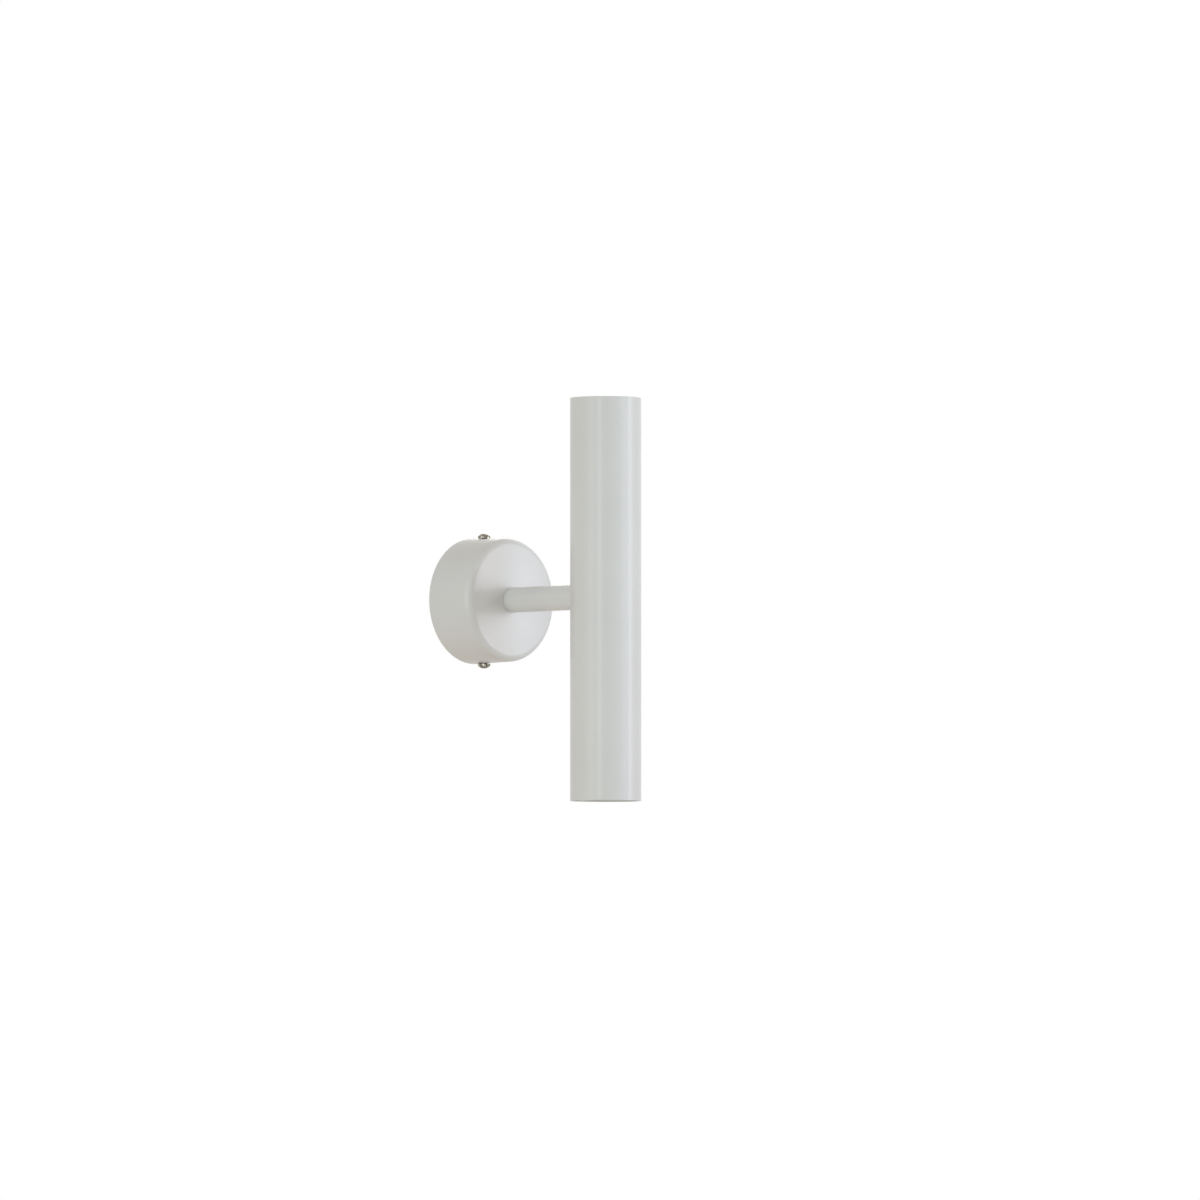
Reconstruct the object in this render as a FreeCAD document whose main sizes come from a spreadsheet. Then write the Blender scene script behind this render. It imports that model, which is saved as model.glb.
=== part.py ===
import FreeCAD, Part
import math
import os
import Sketcher

# Twin wall light: a round canopy on the wall, a short straight arm and one upright tube with a
# twist-lock lamp at each end. Lengths are in millimetres and angles in degrees. The origin is the
# canopy's centre on the wall, the room lies towards -Y and +Z is up.

# Driving dimensions: alias, value, what it is
SIZES = (
    # Light tube
    ("tube_radius", 22.5, "light tube, outside radius"),
    ("tube_wall", 1.2, "light tube, wall"),
    ("tube_length", 255.0, "light tube, length"),
    ("tube_rim_round", 0.3, "light tube, rounding of the end edges"),
    ("tube_from_wall", 118.5, "light tube, axis to wall"),
    ("arm_above_middle", 2.0, "arm axis above the middle of the light tube"),
    # Arm
    ("arm_radius", 8.0, "arm, outside radius"),
    ("arm_wall", 1.5, "arm, wall"),
    ("arm_seat_gap", 0.05, "coped end of the arm to the light tube"),
    ("arm_bush_length", 6.0, "ring that centres the arm"),
    # Canopy
    ("canopy_radius", 40.0, "canopy, outside radius at the wall"),
    ("canopy_depth", 35.0, "canopy, depth from the wall"),
    ("canopy_taper", 0.9, "canopy, radius lost towards the front"),
    ("canopy_wall", 1.2, "canopy, sheet thickness"),
    ("canopy_round", 4.8, "canopy, outside radius of the front edge"),
    # Wall bracket
    ("bracket_width", 20.0, "strip width"),
    ("bracket_thickness", 2.0, "strip thickness"),
    ("bracket_bend", 1.0, "inside radius of the bends"),
    ("flange_width", 12.0, "width of the bent ends"),
    ("flange_depth", 16.0, "reach of the bent ends from the wall"),
    ("flange_corner", 2.5, "rounding of the free corners"),
    ("flange_gap", 0.3, "bent ends to the inside of the canopy"),
    ("slot_offset", 24.0, "wall screw slots, centre above and below the arm axis"),
    ("slot_radius", 2.5, "wall screw slots, half width"),
    ("slot_length", 12.0, "wall screw slots, overall length"),
    ("earth_up", 12.0, "earth screw above the arm axis"),
    ("collar_radius", 3.6, "tapped collar of the earth screw"),
    ("collar_height", 1.6, "tapped collar, height over the strip"),
    # Screws
    ("thread_gap", 0.05, "screw to tapped hole, radial"),
    ("free_gap", 0.3, "screw to clearance hole, radial"),
    ("m4_radius", 2.0, "M4 thread"),
    ("m4_head_radius", 4.0, "M4 pan head"),
    ("m4_head_height", 3.1, "M4 pan head"),
    ("m4_head_round", 1.4, "M4 pan head, rounding of the top edge"),
    ("m3_radius", 1.5, "M3 thread"),
    ("m3_head_radius", 2.8, "M3 pan head"),
    ("m3_head_height", 2.1, "M3 pan head"),
    ("m3_head_round", 0.9, "M3 pan head, rounding of the top edge"),
    ("cross_width", 1.0, "cross recess, width of a leg"),
    ("cross_span", 4.6, "cross recess, across"),
    ("cross_depth", 1.6, "cross recess, depth"),
    ("drive_slot_width", 0.8, "slotted screws, width of the slot"),
    ("drive_slot_depth", 0.8, "slotted screws, depth of the slot"),
    ("cover_screw_out", 9.5, "cover screws, axis to wall"),
    ("cover_screw_length", 8.0, "cover screws, under the head"),
    ("wall_margin", 0.3, "screw tips to the wall plane"),
    # Terminal block
    ("terminal_drop", 6.0, "terminal block, centre below the arm axis"),
    ("terminal_length", 18.0, "terminal block along the wires"),
    ("pole_pitch", 14.8, "poles, centre to centre"),
    ("pole_width", 8.6, "one pole's housing"),
    ("terminal_height", 15.0, "terminal block over the strip"),
    ("terminal_bridge", 6.0, "bridge between the poles, height over the strip"),
    ("terminal_round", 0.6, "edges of the housings"),
    ("fixing_seat", 2.2, "fixing screw's head seat, depth in the bridge"),
    ("wire_out", 8.6, "wire axis to wall"),
    ("clamp_width", 5.6, "brass clamp across the wires"),
    ("clamp_height", 7.8, "brass clamp, height"),
    ("clamp_length", 14.0, "brass clamp along the wires"),
    ("clamp_bore_radius", 2.1, "brass clamp, wire bore"),
    ("clamp_base", 0.9, "brass clamp, metal under the bore"),
    ("clamp_gap", 0.1, "brass clamp to its housing"),
    ("clamp_screw_offset", 4.0, "clamp screws from the middle"),
    ("clamp_screw_head_radius", 2.0, "clamp screw, head"),
    ("clamp_screw_head_height", 1.8, "clamp screw, head"),
    ("clamp_screw_head_round", 0.3, "clamp screw, rounding of the head"),
    ("clamp_screw_recess", 1.2, "clamp screw, head top below the housing's top"),
    ("clamp_screw_lead_gap", 0.3, "clamp screw tip to the leads"),
    # Earth connection
    ("washer_radius", 4.5, "earth washer"),
    ("washer_thickness", 0.8, "earth washer"),
    ("lug_thickness", 0.8, "earth lug and tag, sheet"),
    ("lug_ring_radius", 4.2, "earth lug, ring"),
    ("lug_tongue_width", 3.4, "earth lug and tag, tongue"),
    ("lug_tongue_reach", 8.0, "earth lug, ring centre to barrel"),
    ("barrel_radius", 1.9, "crimp barrel, outside"),
    ("barrel_bore_radius", 1.05, "crimp barrel, bore"),
    ("barrel_length", 5.0, "crimp barrel"),
    ("tag_ring_radius", 8.0, "earth tag on the nipple, ring"),
    ("tag_tongue_reach", 12.0, "earth tag, ring centre to barrel"),
    # Hollow rod and what it clamps
    ("nipple_radius", 5.0, "hollow M10 rod, thread"),
    ("nipple_bore_radius", 4.0, "hollow rod, bore"),
    ("nipple_tail", 1.0, "hollow rod past its nuts"),
    ("nipple_chamfer", 0.4, "hollow rod, ends"),
    ("nipple_gap", 0.15, "hollow rod to the holes it passes"),
    ("nut_flats", 14.0, "nuts, across flats"),
    ("nut_height", 3.0, "nuts, height"),
    ("nut_corner_rise", 0.5, "nuts, chamfer height at the corners"),
    ("lock_washer_radius", 7.4, "toothed washer, ring"),
    ("lock_washer_thickness", 0.9, "toothed washer"),
    ("lock_tooth_reach", 1.2, "toothed washer, teeth past the ring"),
    ("lock_tooth_width", 2.0, "toothed washer, tooth"),
    ("saddle_radius", 8.0, "saddle washer"),
    ("saddle_thickness", 2.5, "saddle washer at its middle"),
    ("saddle_gap", 0.05, "saddle washer to the tube's curved wall"),
    ("bush_gap", 0.1, "bushes to their bores, radial"),
    ("bush_wall", 0.7, "mouth bush, wall"),
    ("bush_length", 5.0, "mouth bush, in the bore"),
    ("bush_flange", 1.0, "mouth bush, flange thickness"),
    # Lampholder frame
    ("frame_width", 18.0, "strip width"),
    ("frame_thickness", 1.5, "strip thickness"),
    ("frame_bend", 1.5, "inside radius of the bends"),
    ("platform_radius", 15.0, "round platforms"),
    # Lampholder
    ("holder_radius", 13.5, "ceramic body"),
    ("holder_half_width", 11.8, "ceramic body, axis to the side flats"),
    ("holder_height", 18.0, "ceramic body, height"),
    ("holder_round", 1.0, "ceramic body, front edge"),
    ("holder_screw_offset", 9.2, "fixing screws from the axis"),
    ("holder_screw_sink", 5.0, "fixing screws, head seat below the front"),
    ("holder_screw_tail", 1.5, "fixing screws past the platform"),
    ("keyhole_plate", 3.0, "front plate over the pin chamber"),
    ("chamber_floor", 9.0, "pin chamber, floor over the rear face"),
    ("chamber_gap", 0.4, "pin heads to the chamber wall"),
    ("entry_gap", 0.3, "pin heads to the entry holes"),
    ("neck_gap", 0.25, "pin necks to the slot"),
    ("twist_angle", 30.0, "turn from locked to the entry holes"),
    ("wire_hole_radius", 1.5, "rear wire holes"),
    ("platform_wire_gap", 0.4, "platform holes wider than the rear wire holes, radial"),
    # Spring contacts
    ("contact_thickness", 0.5, "spring contacts, strip"),
    ("contact_width", 2.4, "spring contacts, strip width"),
    ("contact_reach", 1.7, "spring contacts, pad either side of the pin axis"),
    ("contact_tail_end", 4.0, "spring contacts, tail end over the rear face"),
    ("contact_pin_gap", 0.3, "spring contacts to the pin heads"),
    # Lamps
    ("lamp_recess", 12.0, "lamp front below the end of the tube"),
    ("lamp_length", 41.0, "lamp, cap face to front"),
    ("lamp_seat_gap", 0.3, "lamp cap to holder"),
    ("pin_offset", 5.0, "pins from the lamp axis"),
    ("pin_neck_radius", 1.5, "pins, neck"),
    ("pin_head_radius", 2.5, "pins, head"),
    ("pin_length", 7.0, "pins, cap face to tip"),
    ("pin_head_height", 3.2, "pins, head"),
    ("pin_head_chamfer", 0.4, "pins, tip edge"),
    ("pin_root_radius", 1.2, "pins, root in the cap"),
    ("pin_root_length", 5.0, "pins, root in the cap"),
    ("cap_rear_radius", 9.5, "lamp cap, rear face"),
    ("cap_shoulder_radius", 11.0, "lamp cap over the rear chamfer"),
    ("cap_chamfer_height", 2.0, "lamp cap, rear chamfer"),
    ("cap_front_radius", 12.0, "lamp cap at its front"),
    ("cap_height", 11.0, "lamp cap, visible height"),
    ("cap_spigot_radius", 10.5, "lamp cap, spigot in the body"),
    ("cap_spigot_length", 4.0, "lamp cap, spigot in the body"),
    ("lamp_rear_radius", 12.5, "lamp body at the cap"),
    ("lamp_neck_radius", 13.8, "lamp body under the bezel"),
    ("lamp_radius", 17.5, "lamp body, bezel"),
    ("lamp_rear_land", 2.0, "lamp body, plain ring at the cap"),
    ("bezel_height", 8.0, "lamp body, bezel"),
    ("bezel_slope", 3.0, "lamp body, height of the cone under the bezel"),
    ("bezel_wall", 1.2, "lamp body, wall round the lens"),
    ("lens_seat_depth", 3.0, "lens seat below the front"),
    ("lens_ledge", 1.3, "lens seat, ledge width"),
    ("board_seat", 27.0, "lamp board seat over the cap face"),
    ("board_well", 3.0, "straight wall round the lamp board"),
    ("board_radius", 12.3, "lamp board"),
    ("board_thickness", 1.2, "lamp board"),
    ("emitter_radius", 3.6, "light emitter"),
    ("emitter_height", 0.8, "light emitter"),
    ("lamp_fit_gap", 0.1, "lens, board and cap in the lamp body, radial"),
    ("lens_thickness", 2.2, "lens plate"),
    ("lens_cone_top_radius", 11.5, "lens, collimator at the plate"),
    ("lens_cone_end_radius", 4.2, "lens, collimator at the emitter"),
    ("lens_emitter_gap", 0.5, "lens to emitter"),
    ("fin_count", 18.0, "cooling fins"),
    ("fin_thickness", 1.0, "cooling fins"),
    ("fin_rear_reach", 1.6, "cooling fins past the body at the cap"),
    ("fin_front_reach", 3.0, "cooling fins past the body at the bezel"),
    ("fin_root", 0.6, "cooling fins, root inside the body"),
    # Glare rings
    ("ring_inset", 1.5, "glare ring below the end of the tube"),
    ("ring_gap", 0.2, "glare ring to the tube, radial"),
    ("ring_wall", 1.0, "glare ring, sheet"),
    ("ring_lip", 1.5, "glare ring, flat rim"),
    ("ring_throat_radius", 15.9, "glare ring at the lamp"),
    ("ring_lamp_gap", 0.4, "glare ring to the lamp"),
    # Leads
    ("lead_radius", 0.9, "lamp leads"),
    ("earth_lead_radius", 1.0, "earth lead"),
    ("lead_end_in_clamp", 1.0, "leads past the middle of the clamp"),
    ("lead_pair_offset", 1.0, "leads from the axis of the clamp bore"),
    ("lead_bore_offset", 1.15, "leads from the axis of the hollow rod"),
    ("lead_mouth_turn", 5.5, "lamp leads, bend at the canopy end"),
    ("lead_tube_turn", 8.0, "lamp leads, bend in the tube"),
    ("lead_side_reach", 17.0, "live leads, loop beside the terminal block"),
    ("lead_side_step", 3.0, "next loop further out"),
    ("lead_level", 21.0, "live leads, return run to wall"),
    ("lead_level_step", 2.4, "neutral leads, return run nearer the wall"),
    ("lead_rise_back", 3.5, "lamp leads up the tube, behind the tube's axis"),
    ("lead_rise_spread", 3.4, "lamp leads from the middle on their way"),
    ("lead_way", 26.0, "lamp leads, middle of their way from the arm axis"),
    ("lead_entry", 9.0, "lamp leads, straight below the platform"),
    ("earth_loop", 26.0, "earth lead, loop beside the strip"),
    ("earth_lead_entry", 3.5, "earth lead, length in each barrel"),
    # Cuts
    ("overrun", 1.0, "cuts past the metal"),
)

CLOSE = 0.001
FULL_TURN = 360
HEX_SIDES = 6
TOOTH_COUNT = 12
PAIR = 2
RUN_SHARE = 0.45

document = FreeCAD.newDocument("TwinWallLight")
pieces = []


class Size:
    """A number worked out from the sheet, with the expression that ties a property to it."""

    def __init__(self, value, text):
        self.value = value
        self.text = text

    def __add__(self, other):
        other = as_size(other)
        return Size(self.value + other.value, f"({self.text} + {other.text})")

    def __sub__(self, other):
        other = as_size(other)
        return Size(self.value - other.value, f"({self.text} - {other.text})")

    def __mul__(self, other):
        other = as_size(other)
        return Size(self.value * other.value, f"({self.text} * {other.text})")

    def __truediv__(self, other):
        other = as_size(other)
        return Size(self.value / other.value, f"({self.text} / {other.text})")

    def __neg__(self):
        return Size(-self.value, f"(0 - {self.text})")

    def __radd__(self, other):
        return as_size(other) + self

    def __rsub__(self, other):
        return as_size(other) - self

    def __rmul__(self, other):
        return as_size(other) * self


def as_size(amount):
    """Takes a plain number as it is and leaves a size alone."""
    if isinstance(amount, Size):
        return amount
    return Size(float(amount), str(amount))


def root(amount):
    """Square root of a size."""
    return Size(math.sqrt(amount.value), f"sqrt({amount.text})")


def sine(angle):
    """Sine of an angle in degrees."""
    angle = as_size(angle)
    return Size(math.sin(math.radians(angle.value)), f"sin({angle.text})")


def cosine(angle):
    """Cosine of an angle in degrees."""
    angle = as_size(angle)
    return Size(math.cos(math.radians(angle.value)), f"cos({angle.text})")


class Sheet:
    """The spreadsheet with every driving dimension, one attribute for each."""

    def __init__(self, rows):
        self.cells = document.addObject("Spreadsheet::Sheet", "Sizes")
        for row, (alias, value, note) in enumerate(rows, 1):
            self.cells.set(f"A{row}", note)
            self.cells.set(f"B{row}", str(value))
            self.cells.setAlias(f"B{row}", alias)
        document.recompute()
        for alias, _, _ in rows:
            setattr(self, alias, Size(float(self.cells.get(alias)), f"Sizes.{alias}"))


size = Sheet(SIZES)

# Tools for bodies, sketches and features

# Turn about X that stands a piece's own +Z away from the wall, upright or hanging down
OUTWARD = 90
UPRIGHT = 0
HANGING = 180


def bind(item, path, amount):
    """Ties one property to the sheet."""
    item.setExpression(path, as_size(amount).text)


def start_body(name, stance, out=0, up=0):
    """A new sub-part: its own +Z stands as the stance says, its origin lies out from the wall."""
    body = document.addObject("PartDesign::Body", name)
    body.Label = name
    turn = FreeCAD.Rotation(FreeCAD.Vector(1, 0, 0), stance)
    body.Placement = FreeCAD.Placement(FreeCAD.Vector(0, 0, 0), turn)
    bind(body, "Placement.Base.y", -as_size(out))
    bind(body, "Placement.Base.z", up)
    pieces.append(body)
    return body


def own_datum(body, role):
    """One of the body's own origin planes or axes."""
    return next(item for item in body.Origin.OriginFeatures if item.Role == role)


def start_sketch(body, name, plane, right=0, up=0, lift=0):
    """An empty sketch on an origin plane, moved in its plane and along its normal."""
    sketch = body.newObject("Sketcher::SketchObject", name)
    sketch.AttachmentSupport = [(own_datum(body, plane), "")]
    sketch.MapMode = "FlatFace"
    for axis, amount in (("x", right), ("y", up), ("z", lift)):
        bind(sketch, f"AttachmentOffset.Base.{axis}", amount)
    return sketch


def hold_point(sketch, element, position, place):
    """Ties one point of a sketch to its two distances from the sketch's origin."""
    for kind, axis, amount in (("DistanceX", -2, place[0]), ("DistanceY", -1, place[1])):
        if isinstance(amount, Size):
            row = sketch.addConstraint(
                Sketcher.Constraint(kind, -1, 1, element, position, amount.value)
            )
            bind(sketch, f"Constraints[{row}]", amount)
        else:
            sketch.addConstraint(Sketcher.Constraint("PointOnObject", element, position, axis))


def flat_point(place):
    """A sketch point as a vector."""
    return FreeCAD.Vector(as_size(place[0]).value, as_size(place[1]).value, 0)


def add_loop(sketch, corners):
    """Adds a closed loop of straight edges; each corner keeps its own two distances."""
    first = len(sketch.Geometry)
    count = len(corners)
    for index in range(count):
        start = flat_point(corners[index])
        end = flat_point(corners[(index + 1) % count])
        sketch.addGeometry(Part.LineSegment(start, end))
    for index in range(count):
        after = first + (index + 1) % count
        sketch.addConstraint(Sketcher.Constraint("Coincident", first + index, 2, after, 1))
    for index, place in enumerate(corners):
        hold_point(sketch, first + index, 1, place)


def add_circle(sketch, place, radius):
    """Adds a circle; its centre and radius are tied to the sheet."""
    circle = Part.Circle(flat_point(place), FreeCAD.Vector(0, 0, 1), radius.value)
    element = sketch.addGeometry(circle)
    hold_point(sketch, element, 3, place)
    row = sketch.addConstraint(Sketcher.Constraint("Radius", element, radius.value))
    bind(sketch, f"Constraints[{row}]", radius)


def add_slot(sketch, place, radius, length):
    """Adds an upright slot with round ends; length is overall."""
    reach = length / 2 - radius
    x, y = place
    lower = flat_point((x, y - reach))
    upper = flat_point((x, y + reach))
    up = FreeCAD.Vector(0, 0, 1)
    side = FreeCAD.Vector(radius.value, 0, 0)
    top = sketch.addGeometry(Part.ArcOfCircle(Part.Circle(upper, up, radius.value), 0, math.pi))
    left = sketch.addGeometry(Part.LineSegment(upper - side, lower - side))
    foot = sketch.addGeometry(
        Part.ArcOfCircle(Part.Circle(lower, up, radius.value), math.pi, 2 * math.pi)
    )
    right = sketch.addGeometry(Part.LineSegment(lower + side, upper + side))
    for one, end, other, start in (
        (top, 2, left, 1),
        (left, 2, foot, 1),
        (foot, 2, right, 1),
        (right, 2, top, 1),
    ):
        sketch.addConstraint(Sketcher.Constraint("Tangent", one, end, other, start))
    hold_point(sketch, top, 3, (x, y + reach))
    hold_point(sketch, foot, 3, (x, y - reach))
    row = sketch.addConstraint(Sketcher.Constraint("Radius", top, radius.value))
    bind(sketch, f"Constraints[{row}]", radius)


def outline(body, name, plane, corners, **offsets):
    """A sketch with one closed loop of straight edges."""
    sketch = start_sketch(body, name, plane, **offsets)
    add_loop(sketch, corners)
    return sketch


def circles(body, name, plane, rounds, **offsets):
    """A sketch with circles, each given as its centre and radius."""
    sketch = start_sketch(body, name, plane, **offsets)
    for place, radius in rounds:
        add_circle(sketch, place, radius)
    return sketch


def pad(body, sketch, length, both_sides=False):
    """Adds metal along the sketch's normal, or half to each side of it."""
    feature = body.newObject("PartDesign::Pad", f"{sketch.Name}_pad")
    feature.Profile = sketch
    bind(feature, "Length", length)
    feature.Midplane = both_sides
    sketch.Visibility = False
    document.recompute()
    return feature


def check_cut(body, feature, before):
    """Stops where a cut has missed the solid."""
    document.recompute()
    if not body.Shape.Volume < before - CLOSE:
        raise ValueError(f"{feature.Name} cuts nothing")
    return feature


def pocket(body, sketch, depth=None, both_sides=False, along_normal=False):
    """Cuts against the sketch's normal; with no depth it goes right through."""
    before = body.Shape.Volume
    feature = body.newObject("PartDesign::Pocket", f"{sketch.Name}_pocket")
    feature.Profile = sketch
    if depth is None:
        feature.Type = "ThroughAll"
    else:
        bind(feature, "Length", depth)
    feature.Midplane = both_sides
    feature.Reversed = along_normal
    return check_cut(body, feature, before)


def revolve(body, sketch, axis="V_Axis"):
    """Turns a profile once round an axis of its own sketch."""
    feature = body.newObject("PartDesign::Revolution", f"{sketch.Name}_turned")
    feature.Profile = sketch
    feature.ReferenceAxis = (sketch, [axis])
    feature.Angle = FULL_TURN
    document.recompute()
    return feature


def groove(body, sketch, angle=FULL_TURN, axis="V_Axis"):
    """Cuts a profile round an axis of its own sketch."""
    before = body.Shape.Volume
    feature = body.newObject("PartDesign::Groove", f"{sketch.Name}_groove")
    feature.Profile = sketch
    feature.ReferenceAxis = (sketch, [axis])
    bind(feature, "Angle", angle)
    return check_cut(body, feature, before)


def polar(body, originals, count, name):
    """Repeats features evenly round the body's own Z axis."""
    feature = body.newObject("PartDesign::PolarPattern", name)
    feature.Originals = originals
    feature.Axis = (own_datum(body, "Z_Axis"), [""])
    feature.Angle = FULL_TURN
    bind(feature, "Occurrences", count)
    body.Tip = feature
    document.recompute()
    return feature


def whole_polar(body, count, name):
    """Repeats the whole piece evenly round the body's own Z axis."""
    feature = body.newObject("PartDesign::PolarPattern", name)
    feature.TransformMode = "Whole shape"
    feature.Axis = (own_datum(body, "Z_Axis"), [""])
    feature.Angle = FULL_TURN
    bind(feature, "Occurrences", count)
    body.Tip = feature
    document.recompute()
    return feature


def whole_grid(body, name, spans):
    """Repeats the whole piece twice along one or two of the body's own axes."""
    for role, span in spans:
        feature = body.newObject("PartDesign::LinearPattern", f"{name}_{role}")
        feature.TransformMode = "Whole shape"
        feature.Direction = (own_datum(body, role), [""])
        bind(feature, "Length", span)
        bind(feature, "Occurrences", PAIR)
        body.Tip = feature
        document.recompute()


def space_point(place):
    """A point in a body's own frame as a vector."""
    return FreeCAD.Vector(*[as_size(amount).value for amount in place])


def edges_through(feature, places):
    """Names of the edges of a feature that pass through the given points."""
    names = []
    for place in places:
        spot = Part.Vertex(space_point(place))
        for index, edge in enumerate(feature.Shape.Edges, 1):
            if edge.distToShape(spot)[0] < CLOSE:
                names.append(f"Edge{index}")
    if not names:
        raise ValueError(f"{feature.Name} has no edge at the given points")
    return sorted(set(names))


def fillet(body, name, radius, places):
    """Rounds the edges that pass through the given points."""
    base = body.Tip
    feature = body.newObject("PartDesign::Fillet", name)
    feature.Base = (base, edges_through(base, places))
    bind(feature, "Radius", radius)
    document.recompute()
    return feature


def chamfer(body, name, width, places):
    """Bevels the edges that pass through the given points."""
    base = body.Tip
    feature = body.newObject("PartDesign::Chamfer", name)
    feature.Base = (base, edges_through(base, places))
    bind(feature, "Size", width)
    document.recompute()
    return feature


def ring_outline(inner, outer, low, high):
    """Corners of a ring's section, as radius and height."""
    return [(inner, low), (outer, low), (outer, high), (inner, high)]


def box_outline(left, right, low, high):
    """Corners of a rectangle."""
    return [(left, low), (right, low), (right, high), (left, high)]


# Places that several pieces share

# Tube: its inside radius, its ends over the arm axis and its middle
tube_bore = size.tube_radius - size.tube_wall
tube_middle = -size.arm_above_middle
tube_top = tube_middle + size.tube_length / 2
tube_bottom = tube_middle - size.tube_length / 2

# Stack on the hollow rod, as distances from the wall
canopy_inside = size.canopy_depth - size.canopy_wall
tag_front = canopy_inside - size.lock_washer_thickness
tag_back = tag_front - size.lug_thickness
canopy_nut_back = tag_back - size.nut_height
nipple_back = canopy_nut_back - size.nipple_tail
tube_inside = size.tube_from_wall - tube_bore
saddle_front = tube_inside + size.saddle_thickness
frame_front = saddle_front + size.frame_thickness
tube_nut_front = frame_front + size.nut_height
nipple_front = tube_nut_front + size.nipple_tail
nipple_hole = size.nipple_radius + size.nipple_gap

# Canopy's inside radius where the bracket's bent ends stop, and the reach of those ends
canopy_slope = size.canopy_taper / size.canopy_depth
canopy_inside_radius = size.canopy_radius - size.canopy_wall - canopy_slope * size.flange_depth
flange_half = size.flange_width / 2
flange_face = (
    root(canopy_inside_radius * canopy_inside_radius - flange_half * flange_half) - size.flange_gap
)

# Earth screw's stack over the strip
collar_top = size.bracket_thickness + size.collar_height
lug_top = collar_top + size.lug_thickness
washer_top = lug_top + size.washer_thickness

# Terminal block
terminal_top = size.bracket_thickness + size.terminal_height
bridge_top = size.bracket_thickness + size.terminal_bridge
pole_up = size.pole_pitch / 2 - size.terminal_drop
pole_down = pole_up - size.pole_pitch
clamp_bottom = size.wire_out - size.clamp_bore_radius - size.clamp_base
clamp_top = clamp_bottom + size.clamp_height

# Lamp and its holder, as distances from the middle of the tube
holder_rear = (
    size.tube_length / 2
    - size.lamp_recess
    - size.lamp_length
    - size.lamp_seat_gap
    - size.holder_height
)
lamp_rear = holder_rear + size.holder_height + size.lamp_seat_gap
strip_back = tube_bore - size.saddle_thickness
strip_face = strip_back - size.frame_thickness
head_top = size.holder_height + size.lamp_seat_gap - size.pin_length + size.pin_head_height
pin_tip = head_top - size.pin_head_height
ledge = size.holder_height - size.keyhole_plate
lens_bore = size.lamp_radius - size.bezel_wall
emitter_top = size.board_seat + size.board_thickness + size.emitter_height


# Canopy and wall bracket


def make_canopy_cover():
    """Deep round cup on the wall, with a hole for the rod and one for each cover screw."""
    body = start_body("canopy_cover", OUTWARD)
    front_radius = size.canopy_radius - size.canopy_taper
    corners = [
        (size.canopy_radius, 0),
        (front_radius, size.canopy_depth),
        (nipple_hole, size.canopy_depth),
        (nipple_hole, canopy_inside),
        (front_radius - size.canopy_wall, canopy_inside),
        (size.canopy_radius - size.canopy_wall, 0),
    ]
    revolve(body, outline(body, "cup", "XZ_Plane", corners))
    fillet(body, "front_edge", size.canopy_round, [(0, front_radius, size.canopy_depth)])
    inside_edge = (0, front_radius - size.canopy_wall, canopy_inside)
    fillet(body, "inside_edge", size.canopy_round - size.canopy_wall, [inside_edge])
    hole = [((0, size.cover_screw_out), size.m4_radius + size.free_gap)]
    pocket(body, circles(body, "screw_holes", "XZ_Plane", hole), both_sides=True)


def make_wall_bracket():
    """Steel strip with bent ends for the cover screws and slots for the wall screws."""
    body = start_body("wall_bracket", OUTWARD)
    thick = size.bracket_thickness
    inner = flange_face - thick
    corners = [
        (-flange_face, 0),
        (flange_face, 0),
        (flange_face, size.flange_depth),
        (inner, size.flange_depth),
        (inner, thick),
        (-inner, thick),
        (-inner, size.flange_depth),
        (-flange_face, size.flange_depth),
    ]
    pad(body, outline(body, "strip", "YZ_Plane", corners), size.bracket_width, both_sides=True)
    outer_bend = size.bracket_bend + thick
    fillet(body, "outer_bends", outer_bend, [(0, flange_face, 0), (0, -flange_face, 0)])
    fillet(body, "inner_bends", size.bracket_bend, [(0, inner, thick), (0, -inner, thick)])
    necks = start_sketch(body, "necks", "XY_Plane")
    edge = size.bracket_width / 2 + size.overrun
    end = flange_face + size.overrun
    for low, high in ((inner - outer_bend, end), (-end, outer_bend - inner)):
        add_loop(necks, box_outline(flange_half, edge, low, high))
        add_loop(necks, box_outline(-edge, -flange_half, low, high))
    pocket(body, necks, both_sides=True)
    corner_points = [
        (x, y, size.flange_depth)
        for x in (flange_half, -flange_half)
        for y in (flange_face - thick / 2, thick / 2 - flange_face)
    ]
    fillet(body, "flange_corners", size.flange_corner, corner_points)
    collar = circles(body, "collar", "XY_Plane", [((0, size.earth_up), size.collar_radius)])
    pad(body, collar, collar_top)
    tapped = size.m4_radius + size.thread_gap
    cover_hole = [((0, size.cover_screw_out), tapped)]
    pocket(body, circles(body, "cover_threads", "XZ_Plane", cover_hole), both_sides=True)
    strip_holes = start_sketch(body, "strip_holes", "XY_Plane")
    add_circle(strip_holes, (0, size.earth_up), tapped)
    add_circle(strip_holes, (0, -size.terminal_drop), size.m3_radius + size.thread_gap)
    add_slot(strip_holes, (0, size.slot_offset), size.slot_radius, size.slot_length)
    add_slot(strip_holes, (0, -size.slot_offset), size.slot_radius, size.slot_length)
    pocket(body, strip_holes, both_sides=True)


def cross_corners(centre_x, centre_y):
    """Corners of the cross that a screwdriver fits, about its centre."""
    half = size.cross_width / 2
    reach = size.cross_span / 2
    steps = []
    for across, along in ((1, 0), (0, 1), (-1, 0), (0, -1)):
        for side in (-1, 1):
            x = across * reach - along * side * half
            y = along * reach + across * side * half
            steps.append((centre_x + x, centre_y + y))
        inner_x = (across - along) * half
        inner_y = (across + along) * half
        steps.append((centre_x + inner_x, centre_y + inner_y))
    return steps


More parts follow.
